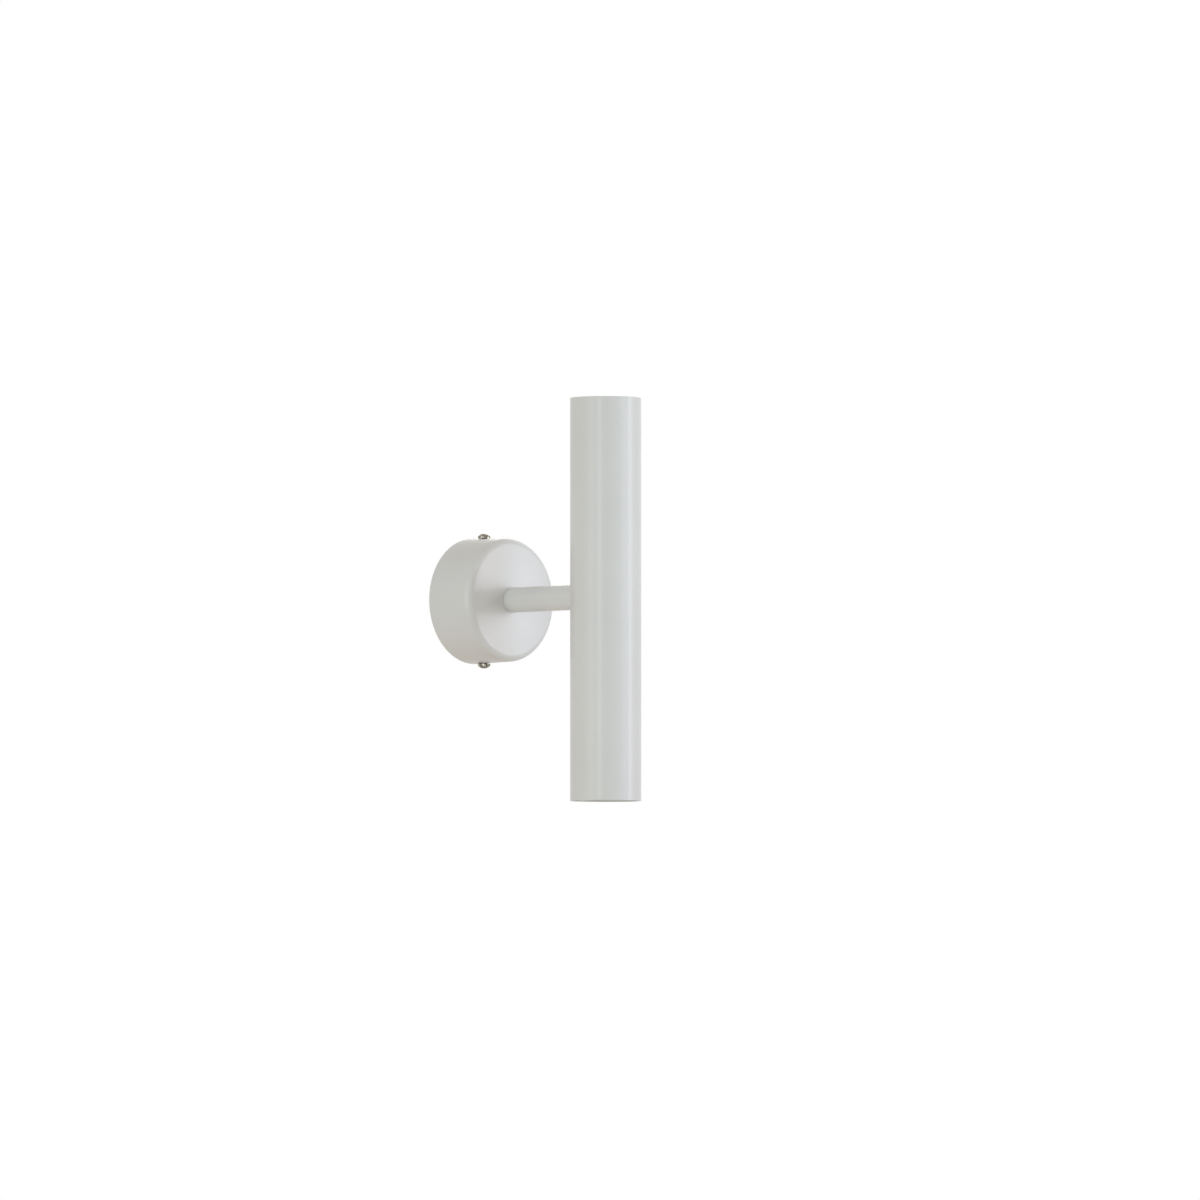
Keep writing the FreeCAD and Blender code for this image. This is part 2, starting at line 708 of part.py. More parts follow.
def make_cover_screws():
    """Two pan head screws that hold the canopy from above and below."""
    body = start_body("cover_screws", OUTWARD)
    seat = size.canopy_radius
    tip = seat - size.cover_screw_length
    top = seat + size.m4_head_height
    corners = [
        (tip, 0),
        (top, 0),
        (top, size.m4_head_radius),
        (seat, size.m4_head_radius),
        (seat, size.m4_radius),
        (tip, size.m4_radius),
    ]
    shape = outline(body, "screw", "YZ_Plane", corners, up=size.cover_screw_out)
    revolve(body, shape, axis="H_Axis")
    rim = (size.m4_head_radius, top, size.cover_screw_out)
    fillet(body, "head_edge", size.m4_head_round, [rim])
    recess = outline(body, "cross", "XZ_Plane", cross_corners(0, size.cover_screw_out), lift=-top)
    pocket(body, recess, size.cross_depth, along_normal=True)
    whole_polar(body, PAIR, "both_screws")


def slotted_screw(body, kind, centre, seat, length):
    """Turns a screw along Z with its head's seat at the given height and a slot in the head."""
    radius, head_radius, head_height, head_round = kind
    x, y = centre
    top = seat + head_height
    corners = [
        (0, seat - length),
        (radius, seat - length),
        (radius, seat),
        (head_radius, seat),
        (head_radius, top),
        (0, top),
    ]
    revolve(body, outline(body, "screw", "XZ_Plane", corners, right=x, lift=-as_size(y)))
    fillet(body, "head_edge", head_round, [(x, y + head_radius, top)])
    half = size.drive_slot_width / 2
    slot = box_outline(x - head_radius, x + head_radius, y - half, y + half)
    pocket(body, outline(body, "drive", "XY_Plane", slot, lift=top), size.drive_slot_depth)


M4_PAN = (size.m4_radius, size.m4_head_radius, size.m4_head_height, size.m4_head_round)
M3_PAN = (size.m3_radius, size.m3_head_radius, size.m3_head_height, size.m3_head_round)
CLAMP_HEAD = (
    size.m3_radius,
    size.clamp_screw_head_radius,
    size.clamp_screw_head_height,
    size.clamp_screw_head_round,
)


# Terminal block


def make_terminal_block():
    """Moulded housing of two poles with a low bridge between them for the fixing screw."""
    body = start_body("terminal_block", OUTWARD)
    base = size.bracket_thickness
    high = pole_up + size.pole_width / 2
    low = pole_down - size.pole_width / 2
    corners = [
        (low, base),
        (high, base),
        (high, terminal_top),
        (high - size.pole_width, terminal_top),
        (high - size.pole_width, bridge_top),
        (low + size.pole_width, bridge_top),
        (low + size.pole_width, terminal_top),
        (low, terminal_top),
    ]
    pad(body, outline(body, "housing", "YZ_Plane", corners), size.terminal_length, both_sides=True)
    top_edges = [
        (0, y, terminal_top)
        for y in (low, low + size.pole_width, high - size.pole_width, high)
    ]
    fillet(body, "top_edges", size.terminal_round, top_edges)
    cavities = start_sketch(body, "cavities", "YZ_Plane")
    half = size.clamp_width / 2 + size.clamp_gap
    for pole in (pole_up, pole_down):
        bottom = clamp_bottom - size.clamp_gap
        add_loop(cavities, box_outline(pole - half, pole + half, bottom, clamp_top + size.clamp_gap))
    pocket(body, cavities, both_sides=True)
    shafts = [
        ((x, pole), size.clamp_screw_head_radius + size.clamp_gap)
        for x in (size.clamp_screw_offset, -size.clamp_screw_offset)
        for pole in (pole_up, pole_down)
    ]
    shaft_holes = circles(body, "shafts", "XY_Plane", shafts, lift=terminal_top)
    pocket(body, shaft_holes, terminal_top - clamp_top)
    centre = (0, -size.terminal_drop)
    seat = circles(body, "seat", "XY_Plane", [(centre, size.m3_head_radius + size.free_gap)],
                   lift=bridge_top)
    pocket(body, seat, size.fixing_seat)
    hole = circles(body, "fixing", "XY_Plane", [(centre, size.m3_radius + size.free_gap)],
                   lift=bridge_top)
    pocket(body, hole)


def make_terminal_clamps():
    """Two brass clamps with a bore for the wires and two tapped holes each."""
    body = start_body("terminal_clamps", OUTWARD)
    half_length = size.clamp_length / 2
    half_width = size.clamp_width / 2
    block = box_outline(-half_length, half_length, pole_down - half_width, pole_down + half_width)
    pad(body, outline(body, "block", "XY_Plane", block, lift=clamp_bottom), size.clamp_height)
    bore = [((pole_down, size.wire_out), size.clamp_bore_radius)]
    pocket(body, circles(body, "wire_bore", "YZ_Plane", bore), both_sides=True)
    threads = [
        ((x, pole_down), size.m3_radius + size.thread_gap)
        for x in (size.clamp_screw_offset, -size.clamp_screw_offset)
    ]
    pocket(body, circles(body, "threads", "XY_Plane", threads, lift=clamp_top),
           clamp_top - size.wire_out)
    whole_grid(body, "poles", [("Y_Axis", size.pole_pitch)])


def make_terminal_screws():
    """Four clamp screws; those on the lamp side press on the leads."""
    body = start_body("terminal_screws", OUTWARD)
    seat = terminal_top - size.clamp_screw_recess - size.clamp_screw_head_height
    tip = size.wire_out + size.lead_radius + size.clamp_screw_lead_gap
    slotted_screw(body, CLAMP_HEAD, (-size.clamp_screw_offset, pole_down), seat, seat - tip)
    spans = [("X_Axis", size.clamp_screw_offset * 2), ("Y_Axis", size.pole_pitch)]
    whole_grid(body, "screws", spans)


def make_terminal_fixing_screw():
    """Screw that holds the terminal block on the strip."""
    body = start_body("terminal_fixing_screw", OUTWARD)
    seat = bridge_top - size.fixing_seat
    slotted_screw(body, M3_PAN, (0, -size.terminal_drop), seat, seat - size.wall_margin)


# Earth connection


def make_earth_screw():
    """Screw in the tapped collar of the strip."""
    body = start_body("earth_screw", OUTWARD)
    slotted_screw(body, M4_PAN, (0, size.earth_up), washer_top, washer_top - size.wall_margin)


def make_earth_washer():
    """Plain washer under the earth screw's head."""
    body = start_body("earth_washer", OUTWARD)
    centre = (0, size.earth_up)
    rounds = [(centre, size.washer_radius), (centre, size.m4_radius + size.free_gap)]
    pad(body, circles(body, "ring", "XY_Plane", rounds, lift=lug_top), size.washer_thickness)


def make_ring_terminal(name, up, low, ring_radius, hole_radius, reach, barrel_out):
    """Flat ring with a tongue to the left that ends in a crimp barrel."""
    body = start_body(name, OUTWARD)
    centre = (0, up)
    pad(body, circles(body, "ring", "XY_Plane", [(centre, ring_radius)], lift=low),
        size.lug_thickness)
    half = size.lug_tongue_width / 2
    tongue = box_outline(-(reach + size.barrel_length / 2), 0, up - half, up + half)
    pad(body, outline(body, "tongue", "XY_Plane", tongue, lift=low), size.lug_thickness)
    far = -(reach + size.barrel_length)
    barrel = (up, barrel_out)
    pad(body, circles(body, "barrel", "YZ_Plane", [(barrel, size.barrel_radius)], lift=far),
        size.barrel_length)
    bore = circles(body, "bore", "YZ_Plane", [(barrel, size.barrel_bore_radius)], lift=far)
    pocket(body, bore, size.barrel_length, along_normal=True)
    hole = circles(body, "hole", "XY_Plane", [(centre, hole_radius)])
    pocket(body, hole, both_sides=True)


def make_earth_terminals():
    """Lug on the strip and tag on the hollow rod."""
    make_ring_terminal(
        "earth_lug",
        size.earth_up,
        collar_top,
        size.lug_ring_radius,
        size.m4_radius + size.free_gap,
        size.lug_tongue_reach,
        collar_top + size.barrel_radius,
    )
    make_ring_terminal(
        "earth_tag",
        as_size(0),
        tag_back,
        size.tag_ring_radius,
        nipple_hole,
        size.tag_tongue_reach,
        tag_front - size.barrel_radius,
    )


# Hollow rod and what it clamps


def make_threaded_nipple():
    """Hollow threaded rod through canopy, arm and light tube."""
    body = start_body("threaded_nipple", OUTWARD)
    section = ring_outline(size.nipple_bore_radius, size.nipple_radius, nipple_back, nipple_front)
    revolve(body, outline(body, "rod", "XZ_Plane", section))
    ends = [(0, size.nipple_radius, nipple_back), (0, size.nipple_radius, nipple_front)]
    chamfer(body, "ends", size.nipple_chamfer, ends)


def make_nut(name, back, outer, inward):
    """Hexagon nut on the hollow rod, with its corners bevelled at the outer face."""
    body = start_body(name, OUTWARD)
    half = size.nut_flats / 2
    corner = half / cosine(FULL_TURN / HEX_SIDES / 2)
    corners = [
        (corner, 0),
        (corner / 2, half),
        (-corner / 2, half),
        (-corner, 0),
        (-corner / 2, -half),
        (corner / 2, -half),
    ]
    pad(body, outline(body, "hexagon", "XY_Plane", corners, lift=back), size.nut_height)
    hole = [((0, 0), size.nipple_radius + size.thread_gap)]
    pocket(body, circles(body, "thread", "XY_Plane", hole, lift=back), along_normal=True)
    far = corner + size.overrun
    drop = size.nut_corner_rise * (far - half) / (corner - half)
    bevel = [(half, outer), (far, outer), (far, outer + inward * drop)]
    groove(body, outline(body, "bevel", "XZ_Plane", bevel))


def make_lock_washer():
    """Washer with outside teeth that bite into the canopy."""
    body = start_body("lock_washer", OUTWARD)
    thick = size.lock_washer_thickness
    rounds = [((0, 0), size.lock_washer_radius), ((0, 0), nipple_hole)]
    pad(body, circles(body, "ring", "XY_Plane", rounds, lift=tag_front), thick)
    half = size.lock_tooth_width / 2
    tip = size.lock_washer_radius + size.lock_tooth_reach
    tooth = box_outline(size.lock_washer_radius - half, tip, -half, half)
    one_tooth = pad(body, outline(body, "tooth", "XY_Plane", tooth, lift=tag_front), thick)
    polar(body, [one_tooth], TOOTH_COUNT, "teeth")


def make_saddle_washer():
    """Round washer whose back follows the inside of the light tube."""
    body = start_body("saddle_washer", OUTWARD)
    disc = circles(body, "disc", "XY_Plane", [((0, 0), size.saddle_radius)], lift=tube_inside)
    pad(body, disc, size.saddle_thickness)
    trim = start_sketch(body, "trim", "XZ_Plane")
    reach = size.tube_radius + size.overrun
    middle = size.tube_from_wall
    add_loop(trim, box_outline(-reach, reach, middle - reach, middle + reach))
    add_circle(trim, (0, middle), tube_bore - size.saddle_gap)
    pocket(body, trim, both_sides=True)
    hole = circles(body, "hole", "XY_Plane", [((0, 0), nipple_hole)], lift=saddle_front)
    pocket(body, hole)


def make_nipple_bushes():
    """Two insulating bushes that line the mouths of the hollow rod."""
    body = start_body("nipple_bushes", OUTWARD)
    spigot = size.nipple_bore_radius - size.bush_gap
    inner = spigot - size.bush_wall
    for name, mouth, inward in (("canopy_mouth", nipple_back, 1), ("tube_mouth", nipple_front, -1)):
        corners = [
            (inner, mouth - inward * size.bush_flange),
            (size.nipple_radius, mouth - inward * size.bush_flange),
            (size.nipple_radius, mouth),
            (spigot, mouth),
            (spigot, mouth + inward * size.bush_length),
            (inner, mouth + inward * size.bush_length),
        ]
        revolve(body, outline(body, name, "XZ_Plane", corners))


# Arm and light tube


def make_arm_tube():
    """Round arm, coped at its far end to sit on the light tube."""
    body = start_body("arm_tube", OUTWARD)
    bore = size.arm_radius - size.arm_wall
    section = ring_outline(bore, size.arm_radius, size.canopy_depth, size.tube_from_wall)
    revolve(body, outline(body, "arm", "XZ_Plane", section))
    cope = [((0, size.tube_from_wall), size.tube_radius + size.arm_seat_gap)]
    pocket(body, circles(body, "cope", "XZ_Plane", cope), both_sides=True)


def make_arm_bush():
    """Ring at the canopy that centres the arm on the hollow rod."""
    body = start_body("arm_bush", OUTWARD)
    outer = size.arm_radius - size.arm_wall - size.bush_gap
    inner = size.nipple_radius + size.bush_gap
    low = size.canopy_depth
    section = ring_outline(inner, outer, low, low + size.arm_bush_length)
    revolve(body, outline(body, "ring", "XZ_Plane", section))


def make_light_tube():
    """Upright tube, open at both ends, with a hole for the hollow rod at the back."""
    body = start_body("light_tube", UPRIGHT, out=size.tube_from_wall)
    section = ring_outline(tube_bore, size.tube_radius, tube_bottom, tube_top)
    revolve(body, outline(body, "tube", "XZ_Plane", section))
    rims = [(0, r, z) for r in (tube_bore, size.tube_radius) for z in (tube_bottom, tube_top)]
    fillet(body, "rims", size.tube_rim_round, rims)
    pocket(body, circles(body, "rod_hole", "XZ_Plane", [((0, 0), nipple_hole)]))


def make_lampholder_frame():
    """Bent strip clamped behind the tube nut, with a round platform at each end."""
    body = start_body("lampholder_frame", UPRIGHT, out=size.tube_from_wall, up=tube_middle)
    thick = size.frame_thickness
    inner = holder_rear - thick
    corners = [
        (strip_back, -holder_rear),
        (strip_back, holder_rear),
        (0, holder_rear),
        (0, inner),
        (strip_face, inner),
        (strip_face, -inner),
        (0, -inner),
        (0, -holder_rear),
    ]
    pad(body, outline(body, "strip", "YZ_Plane", corners), size.frame_width, both_sides=True)
    outer_bends = [(0, strip_back, holder_rear), (0, strip_back, -holder_rear)]
    fillet(body, "outer_bends", size.frame_bend + thick, outer_bends)
    fillet(body, "inner_bends", size.frame_bend, [(0, strip_face, inner), (0, strip_face, -inner)])
    disc = [((0, 0), size.platform_radius)]
    pad(body, circles(body, "top_platform", "XY_Plane", disc, lift=inner), thick)
    pad(body, circles(body, "bottom_platform", "XY_Plane", disc, lift=-holder_rear), thick)
    holes = start_sketch(body, "platform_holes", "XY_Plane")
    for way in (1, -1):
        add_circle(holes, (0, way * size.holder_screw_offset), size.m3_radius + size.thread_gap)
        wire_radius = size.wire_hole_radius + size.platform_wire_gap
        add_circle(holes, (way * size.pin_offset, 0), wire_radius)
    pocket(body, holes, both_sides=True)
    rod_hole = [((0, size.arm_above_middle), nipple_hole)]
    pocket(body, circles(body, "rod_hole", "XZ_Plane", rod_hole))


# Lampholders


def make_lampholder(name, stance, up):
    """Ceramic twist-lock holder with two keyholes in its front."""
    body = start_body(name, stance, out=size.tube_from_wall, up=up)
    top = size.holder_height
    pad(body, circles(body, "round", "XY_Plane", [((0, 0), size.holder_radius)]), top)
    flats = start_sketch(body, "flats", "XY_Plane", lift=top)
    far = size.holder_radius + size.overrun
    add_loop(flats, box_outline(size.holder_half_width, far, -far, far))
    add_loop(flats, box_outline(-far, -size.holder_half_width, -far, far))
    pocket(body, flats)
    front = [(0, size.holder_radius, top), (0, -size.holder_radius, top)]
    front += [(size.holder_half_width, 0, top), (-size.holder_half_width, 0, top)]
    fillet(body, "front_edge", size.holder_round, front)
    screws = [(0, size.holder_screw_offset), (0, -size.holder_screw_offset)]
    sinks = [(place, size.m3_head_radius + size.free_gap) for place in screws]
    pocket(body, circles(body, "sinks", "XY_Plane", sinks, lift=top), size.holder_screw_sink)
    shanks = [(place, size.m3_radius + size.free_gap) for place in screws]
    pocket(body, circles(body, "shanks", "XY_Plane", shanks, lift=top))
    cut_keyholes(body)


def cut_keyholes(body):
    """Cuts both keyholes: entry, neck slot with its round end, and the chamber for the head."""
    offset = size.pin_offset
    top = size.holder_height
    neck = size.pin_neck_radius + size.neck_gap
    head = size.pin_head_radius + size.chamber_gap
    entry_place = (offset * cosine(size.twist_angle), offset * sine(size.twist_angle))
    entry = [(entry_place, size.pin_head_radius + size.entry_gap)]
    cuts = [pocket(body, circles(body, "entry", "XY_Plane", entry, lift=top),
                   top - size.chamber_floor)]
    slot = box_outline(offset - neck, offset + neck, ledge, top + size.overrun)
    cuts.append(groove(body, outline(body, "neck_slot", "XZ_Plane", slot), size.twist_angle))
    neck_end = circles(body, "neck_end", "XY_Plane", [((offset, 0), neck)], lift=top)
    cuts.append(pocket(body, neck_end, size.keyhole_plate))
    room = box_outline(offset - head, offset + head, size.chamber_floor, ledge)
    cuts.append(groove(body, outline(body, "chamber", "XZ_Plane", room), size.twist_angle))
    room_end = circles(body, "chamber_end", "XY_Plane", [((offset, 0), head)], lift=ledge)
    cuts.append(pocket(body, room_end, ledge - size.chamber_floor))
    wire = [((offset, 0), size.wire_hole_radius)]
    wire_hole = circles(body, "wire_hole", "XY_Plane", wire, lift=size.chamber_floor)
    cuts.append(pocket(body, wire_hole))
    polar(body, cuts, PAIR, "both_keyholes")


def make_holder_screws(name, stance, up):
    """Two screws from the holder's front into the platform."""
    body = start_body(name, stance, out=size.tube_from_wall, up=up)
    seat = size.holder_height - size.holder_screw_sink
    length = seat + size.frame_thickness + size.holder_screw_tail
    slotted_screw(body, M3_PAN, (0, size.holder_screw_offset), seat, length)
    whole_polar(body, PAIR, "both_screws")


def make_holder_contacts(name, stance, up):
    """Two bent spring contacts under the locked pins, each with a tail to its lead."""
    body = start_body(name, stance, out=size.tube_from_wall, up=up)
    thick = size.contact_thickness
    floor = size.chamber_floor
    inner = size.pin_offset - size.contact_reach
    outer = size.pin_offset + size.contact_reach
    tail_inner = size.pin_offset - thick / 2
    tail_outer = size.pin_offset + thick / 2
    top = pin_tip - size.contact_pin_gap
    corners = [
        (inner, floor),
        (tail_inner, floor),
        (tail_inner, size.contact_tail_end),
        (tail_outer, size.contact_tail_end),
        (tail_outer, floor + thick),
        (inner + thick, floor + thick),
        (inner + thick, top - thick),
        (outer, top - thick),
        (outer, top),
        (inner, top),
    ]
    pad(body, outline(body, "spring", "XZ_Plane", corners), size.contact_width, both_sides=True)
    whole_polar(body, PAIR, "both_contacts")


# Lamps


def make_lamp_pins(name, stance, up):
    """Two headed pins, rooted in the cap."""
    body = start_body(name, stance, out=size.tube_from_wall, up=up)
    tip = -size.pin_length
    neck_start = tip + size.pin_head_height
    corners = [
        (0, tip),
        (size.pin_head_radius, tip),
        (size.pin_head_radius, neck_start),
        (size.pin_neck_radius, neck_start),
        (size.pin_neck_radius, 0),
        (size.pin_root_radius, 0),
        (size.pin_root_radius, size.pin_root_length),
        (0, size.pin_root_length),
    ]
    revolve(body, outline(body, "pin", "XZ_Plane", corners, right=size.pin_offset))
    tip_edge = (size.pin_offset, size.pin_head_radius, tip)
    chamfer(body, "tip_edge", size.pin_head_chamfer, [tip_edge])
    whole_polar(body, PAIR, "both_pins")


def make_lamp_cap(name, stance, up):
    """Insulating cap between the pins and the lamp body."""
    body = start_body(name, stance, out=size.tube_from_wall, up=up)
    top = size.cap_height + size.cap_spigot_length
    corners = [
        (0, 0),
        (size.cap_rear_radius, 0),
        (size.cap_shoulder_radius, size.cap_chamfer_height),
        (size.cap_front_radius, size.cap_height),
        (size.cap_spigot_radius, size.cap_height),
        (size.cap_spigot_radius, top),
        (0, top),
    ]
    revolve(body, outline(body, "cap", "XZ_Plane", corners))
    roots = [((way * size.pin_offset, 0), size.pin_root_radius + size.thread_gap) for way in (1, -1)]
    pocket(body, circles(body, "roots", "XY_Plane", roots), size.pin_root_length, along_normal=True)


def make_lamp_body(name, stance, up):
    """Finned body with a bezel that holds the lens and a seat for the lamp board."""
    body = start_body(name, stance, out=size.tube_from_wall, up=up)
    front = size.lamp_length
    bezel_rear = front - size.bezel_height
    neck_top = bezel_rear - size.bezel_slope
    spigot_bore = size.cap_spigot_radius + size.lamp_fit_gap
    spigot_end = size.cap_height + size.cap_spigot_length
    board_bore = size.board_radius + size.lamp_fit_gap
    fin_start = size.cap_height + size.lamp_rear_land
    corners = [
        (spigot_bore, size.cap_height),
        (size.lamp_rear_radius, size.cap_height),
        (size.lamp_rear_radius, fin_start),
        (size.lamp_neck_radius, neck_top),
        (size.lamp_radius, bezel_rear),
        (size.lamp_radius, front),
        (lens_bore, front),
        (lens_bore, front - size.lens_seat_depth),
        (lens_bore - size.lens_ledge, front - size.lens_seat_depth),
        (lens_bore - size.lens_ledge, bezel_rear),
        (board_bore, size.board_seat + size.board_well),
        (board_bore, size.board_seat),
        (0, size.board_seat),
        (0, spigot_end),
        (spigot_bore, spigot_end),
    ]
    revolve(body, outline(body, "shell", "XZ_Plane", corners))
    fin_tip = size.lamp_neck_radius + size.fin_front_reach
    bezel_run = size.lamp_radius - size.lamp_neck_radius
    fin_end = neck_top + size.bezel_slope * size.fin_front_reach / bezel_run
    fin = [
        (size.lamp_rear_radius - size.fin_root, fin_start),
        (size.lamp_rear_radius + size.fin_rear_reach, fin_start),
        (fin_tip, fin_end),
        (size.lamp_neck_radius - size.fin_root, neck_top),
    ]
    one_fin = pad(body, outline(body, "fin", "XZ_Plane", fin), size.fin_thickness, both_sides=True)
    polar(body, [one_fin], size.fin_count, "fins")


def make_lamp_lens(name, stance, up):
    """Clear lens: a plate in the bezel and a collimator cone over the emitter."""
    body = start_body(name, stance, out=size.tube_from_wall, up=up)
    seat = size.lamp_length - size.lens_seat_depth
    cone_end = emitter_top + size.lens_emitter_gap
    plate = lens_bore - size.lamp_fit_gap
    corners = [
        (0, cone_end),
        (size.lens_cone_end_radius, cone_end),
        (size.lens_cone_top_radius, seat),
        (plate, seat),
        (plate, seat + size.lens_thickness),
        (0, seat + size.lens_thickness),
    ]
    revolve(body, outline(body, "lens", "XZ_Plane", corners))


def make_lamp_board(name, stance, up):
    """Round board with the light emitter in its middle."""
    body = start_body(name, stance, out=size.tube_from_wall, up=up)
    board_top = size.board_seat + size.board_thickness
    corners = [
        (0, size.board_seat),
        (size.board_radius, size.board_seat),
        (size.board_radius, board_top),
        (size.emitter_radius, board_top),
        (size.emitter_radius, emitter_top),
        (0, emitter_top),
    ]
    revolve(body, outline(body, "board", "XZ_Plane", corners))


def make_trim_ring(name, stance, up):
    """Glare ring: a skirt that grips the tube and a funnel down to the lamp."""
    body = start_body(name, stance, out=size.tube_from_wall, up=up)
    outer = tube_bore - size.ring_gap
    skirt = outer - size.ring_wall
    lip = outer - size.ring_lip
    top = -size.ring_inset
    bottom = size.ring_lamp_gap - size.lamp_recess
    throat = size.ring_throat_radius
    underside = throat + size.ring_wall
    meeting = bottom + (skirt - underside) * (top - bottom) / (lip - throat)
    corners = [
        (outer, bottom),
        (outer, top),
        (lip, top),
        (throat, bottom),
        (underside, bottom),
        (skirt, meeting),
        (skirt, bottom),
    ]
    revolve(body, outline(body, "ring", "XZ_Plane", corners))


def make_light_end(side, stance, way, tube_end):
    """Everything at one end of the light tube; way is 1 upwards and -1 downwards."""
    holder_up = tube_middle + way * holder_rear
    make_lampholder(f"{side}_lampholder", stance, holder_up)
    make_holder_screws(f"{side}_holder_screws", stance, holder_up)
    make_holder_contacts(f"{side}_holder_contacts", stance, holder_up)
    lamp_up = tube_middle + way * lamp_rear
    make_lamp_pins(f"{side}_lamp_pins", stance, lamp_up)
    make_lamp_cap(f"{side}_lamp_cap", stance, lamp_up)
    make_lamp_body(f"{side}_lamp_body", stance, lamp_up)
    make_lamp_lens(f"{side}_lamp_lens", stance, lamp_up)
    make_lamp_board(f"{side}_lamp_board", stance, lamp_up)
    make_trim_ring(f"{side}_trim_ring", stance, tube_end)


# Leads, held along their whole way; points are right, up and out from the wall


def rounded_path(points, turns):
    """Straight runs joined by arcs; turns gives a bend its own radius by the point's number."""
    edges = []
    radii = []
    start = points[0]
    for index in range(1, len(points) - 1):
        corner = points[index]
        back = points[index - 1] - corner
        ahead = points[index + 1] - corner
        half_turn = (math.pi - back.getAngle(ahead)) / 2
        shorter = min(back.Length, ahead.Length)
        radius = turns.get(index, RUN_SHARE * shorter / math.tan(half_turn))
        reach = radius * math.tan(half_turn)
        back.normalize()
        ahead.normalize()
        inward = (back + ahead).normalize()
        middle = corner + inward * (radius / math.cos(half_turn) - radius)
        arc_start = corner + back * reach
        arc_end = corner + ahead * reach
        edges.append(Part.LineSegment(start, arc_start).toShape())
        edges.append(Part.Arc(arc_start, middle, arc_end).toShape())
        radii.append(radius)
        start = arc_end
    edges.append(Part.LineSegment(start, points[-1]).toShape())
    return Part.Wire(edges), radii


def lead_solid(name, route, radius, turns):
    """A round lead along its route; prints its length and bends and checks its volume."""
    points = [space_point(place) for place in route]
    path, radii = rounded_path(points, turns)
    first_way = points[1] - points[0]
    section = Part.Wire([Part.Circle(points[0], first_way, radius.value).toShape()])
    solid = path.makePipeShell([section], True, False)
    expected = math.pi * radius.value ** 2 * path.Length
    if abs(solid.Volume / expected - 1) > CLOSE:
        raise ValueError(f"{name} has the wrong volume")
    bends = ", ".join(f"{bend:.1f}" for bend in radii)
    print(f"{name}: length {path.Length:.1f}, bend radii {bends}")
    return solid


def add_leads(name, solids):
    """One sub-part from the solids of some leads."""
    piece = document.addObject("Part::Feature", name)
    piece.Label = name
    piece.Shape = Part.makeCompound(solids) if len(solids) > 1 else solids[0]
    turn = FreeCAD.Rotation(FreeCAD.Vector(1, 0, 0), OUTWARD)
    piece.Placement = FreeCAD.Placement(FreeCAD.Vector(0, 0, 0), turn)
    pieces.append(piece)


def lamp_lead(name, pole, way, across, side_reach, level):
    """Route of one lead: clamp, loop, hollow rod, up or down the tube, holder contact."""
    clamp_up = pole + way * size.lead_pair_offset
    bore_x = across * size.lead_bore_offset
    bore_up = way * size.lead_bore_offset
    rear_up = tube_middle + way * holder_rear
    platform_up = rear_up - way * size.frame_thickness
    contact_x = across * size.pin_offset
    rise_out = size.tube_from_wall - size.lead_rise_back
    route = [
        (size.lead_end_in_clamp, clamp_up, size.wire_out),
        (side_reach, clamp_up, size.wire_out),
        (side_reach, clamp_up, level),
        (bore_x, bore_up, level),
        (bore_x, bore_up, rise_out),
        (across * size.lead_rise_spread, way * size.lead_way, rise_out),
        (contact_x, platform_up - way * size.lead_entry, size.tube_from_wall),
        (contact_x, rear_up + way * size.contact_tail_end, size.tube_from_wall),
    ]
    turns = {3: size.lead_mouth_turn.value, 4: size.lead_tube_turn.value}
    return lead_solid(name, route, size.lead_radius, turns)


def make_lamp_leads(side, way):
    """The live and the neutral lead of one lamp."""
    live_reach = size.lead_side_reach
    live = lamp_lead(f"{side} live lead", pole_up, way, 1, live_reach, size.lead_level)
    steps = 2 if way > 0 else 1
    neutral_reach = live_reach + steps * size.lead_side_step
    neutral_level = size.lead_level - size.lead_level_step
    neutral = lamp_lead(f"{side} neutral lead", pole_down, way, -1, neutral_reach, neutral_level)
    add_leads(f"{side}_lamp_leads", [live, neutral])


def make_earth_lead():
    """Lead from the tag on the hollow rod to the lug on the strip."""
    tag_out = tag_front - size.barrel_radius
    lug_out = collar_top + size.barrel_radius
    tag_end = size.tag_tongue_reach + size.barrel_length - size.earth_lead_entry
    lug_end = size.lug_tongue_reach + size.barrel_length - size.earth_lead_entry
    route = [
        (-tag_end, 0, tag_out),
        (-size.earth_loop, 0, tag_out),
        (-size.earth_loop, size.earth_up, lug_out),
        (-lug_end, size.earth_up, lug_out),
    ]
    add_leads("earth_lead", [lead_solid("earth lead", route, size.earth_lead_radius, {})])


def build():
    """Makes every sub-part."""
    make_canopy_cover()
    make_wall_bracket()
    make_cover_screws()
    make_terminal_block()
    make_terminal_clamps()
    make_terminal_screws()
    make_terminal_fixing_screw()
    make_earth_screw()
    make_earth_washer()
    make_earth_terminals()
    make_threaded_nipple()
    make_nut("canopy_nut", canopy_nut_back, canopy_nut_back, 1)
    make_lock_washer()
    make_arm_tube()
    make_arm_bush()
    make_light_tube()
    make_saddle_washer()
    make_nut("tube_nut", frame_front, tube_nut_front, -1)
    make_nipple_bushes()
    make_lampholder_frame()
    make_light_end("upper", UPRIGHT, 1, tube_top)
    make_light_end("lower", HANGING, -1, tube_bottom)
    make_lamp_leads("upper", 1)
    make_lamp_leads("lower", -1)
    make_earth_lead()


def check_pieces():
    """Stops where an object failed or a sub-part has no valid shape."""
    document.recompute()
    for item in document.Objects:
        if "Invalid" in item.State or "Error" in item.State:
            raise ValueError(f"{item.Name} is {item.State}")
    for piece in pieces:
        if piece.Shape.isNull() or not piece.Shape.isValid():
            raise ValueError(f"{piece.Label} has no valid shape")


def write_pieces():
    """Writes each sub-part to its own file."""
    os.makedirs("parts", exist_ok=True)
    for piece in pieces:
        piece.Shape.exportStep(f"parts/{piece.Label}.step")


build()
check_pieces()
write_pieces()
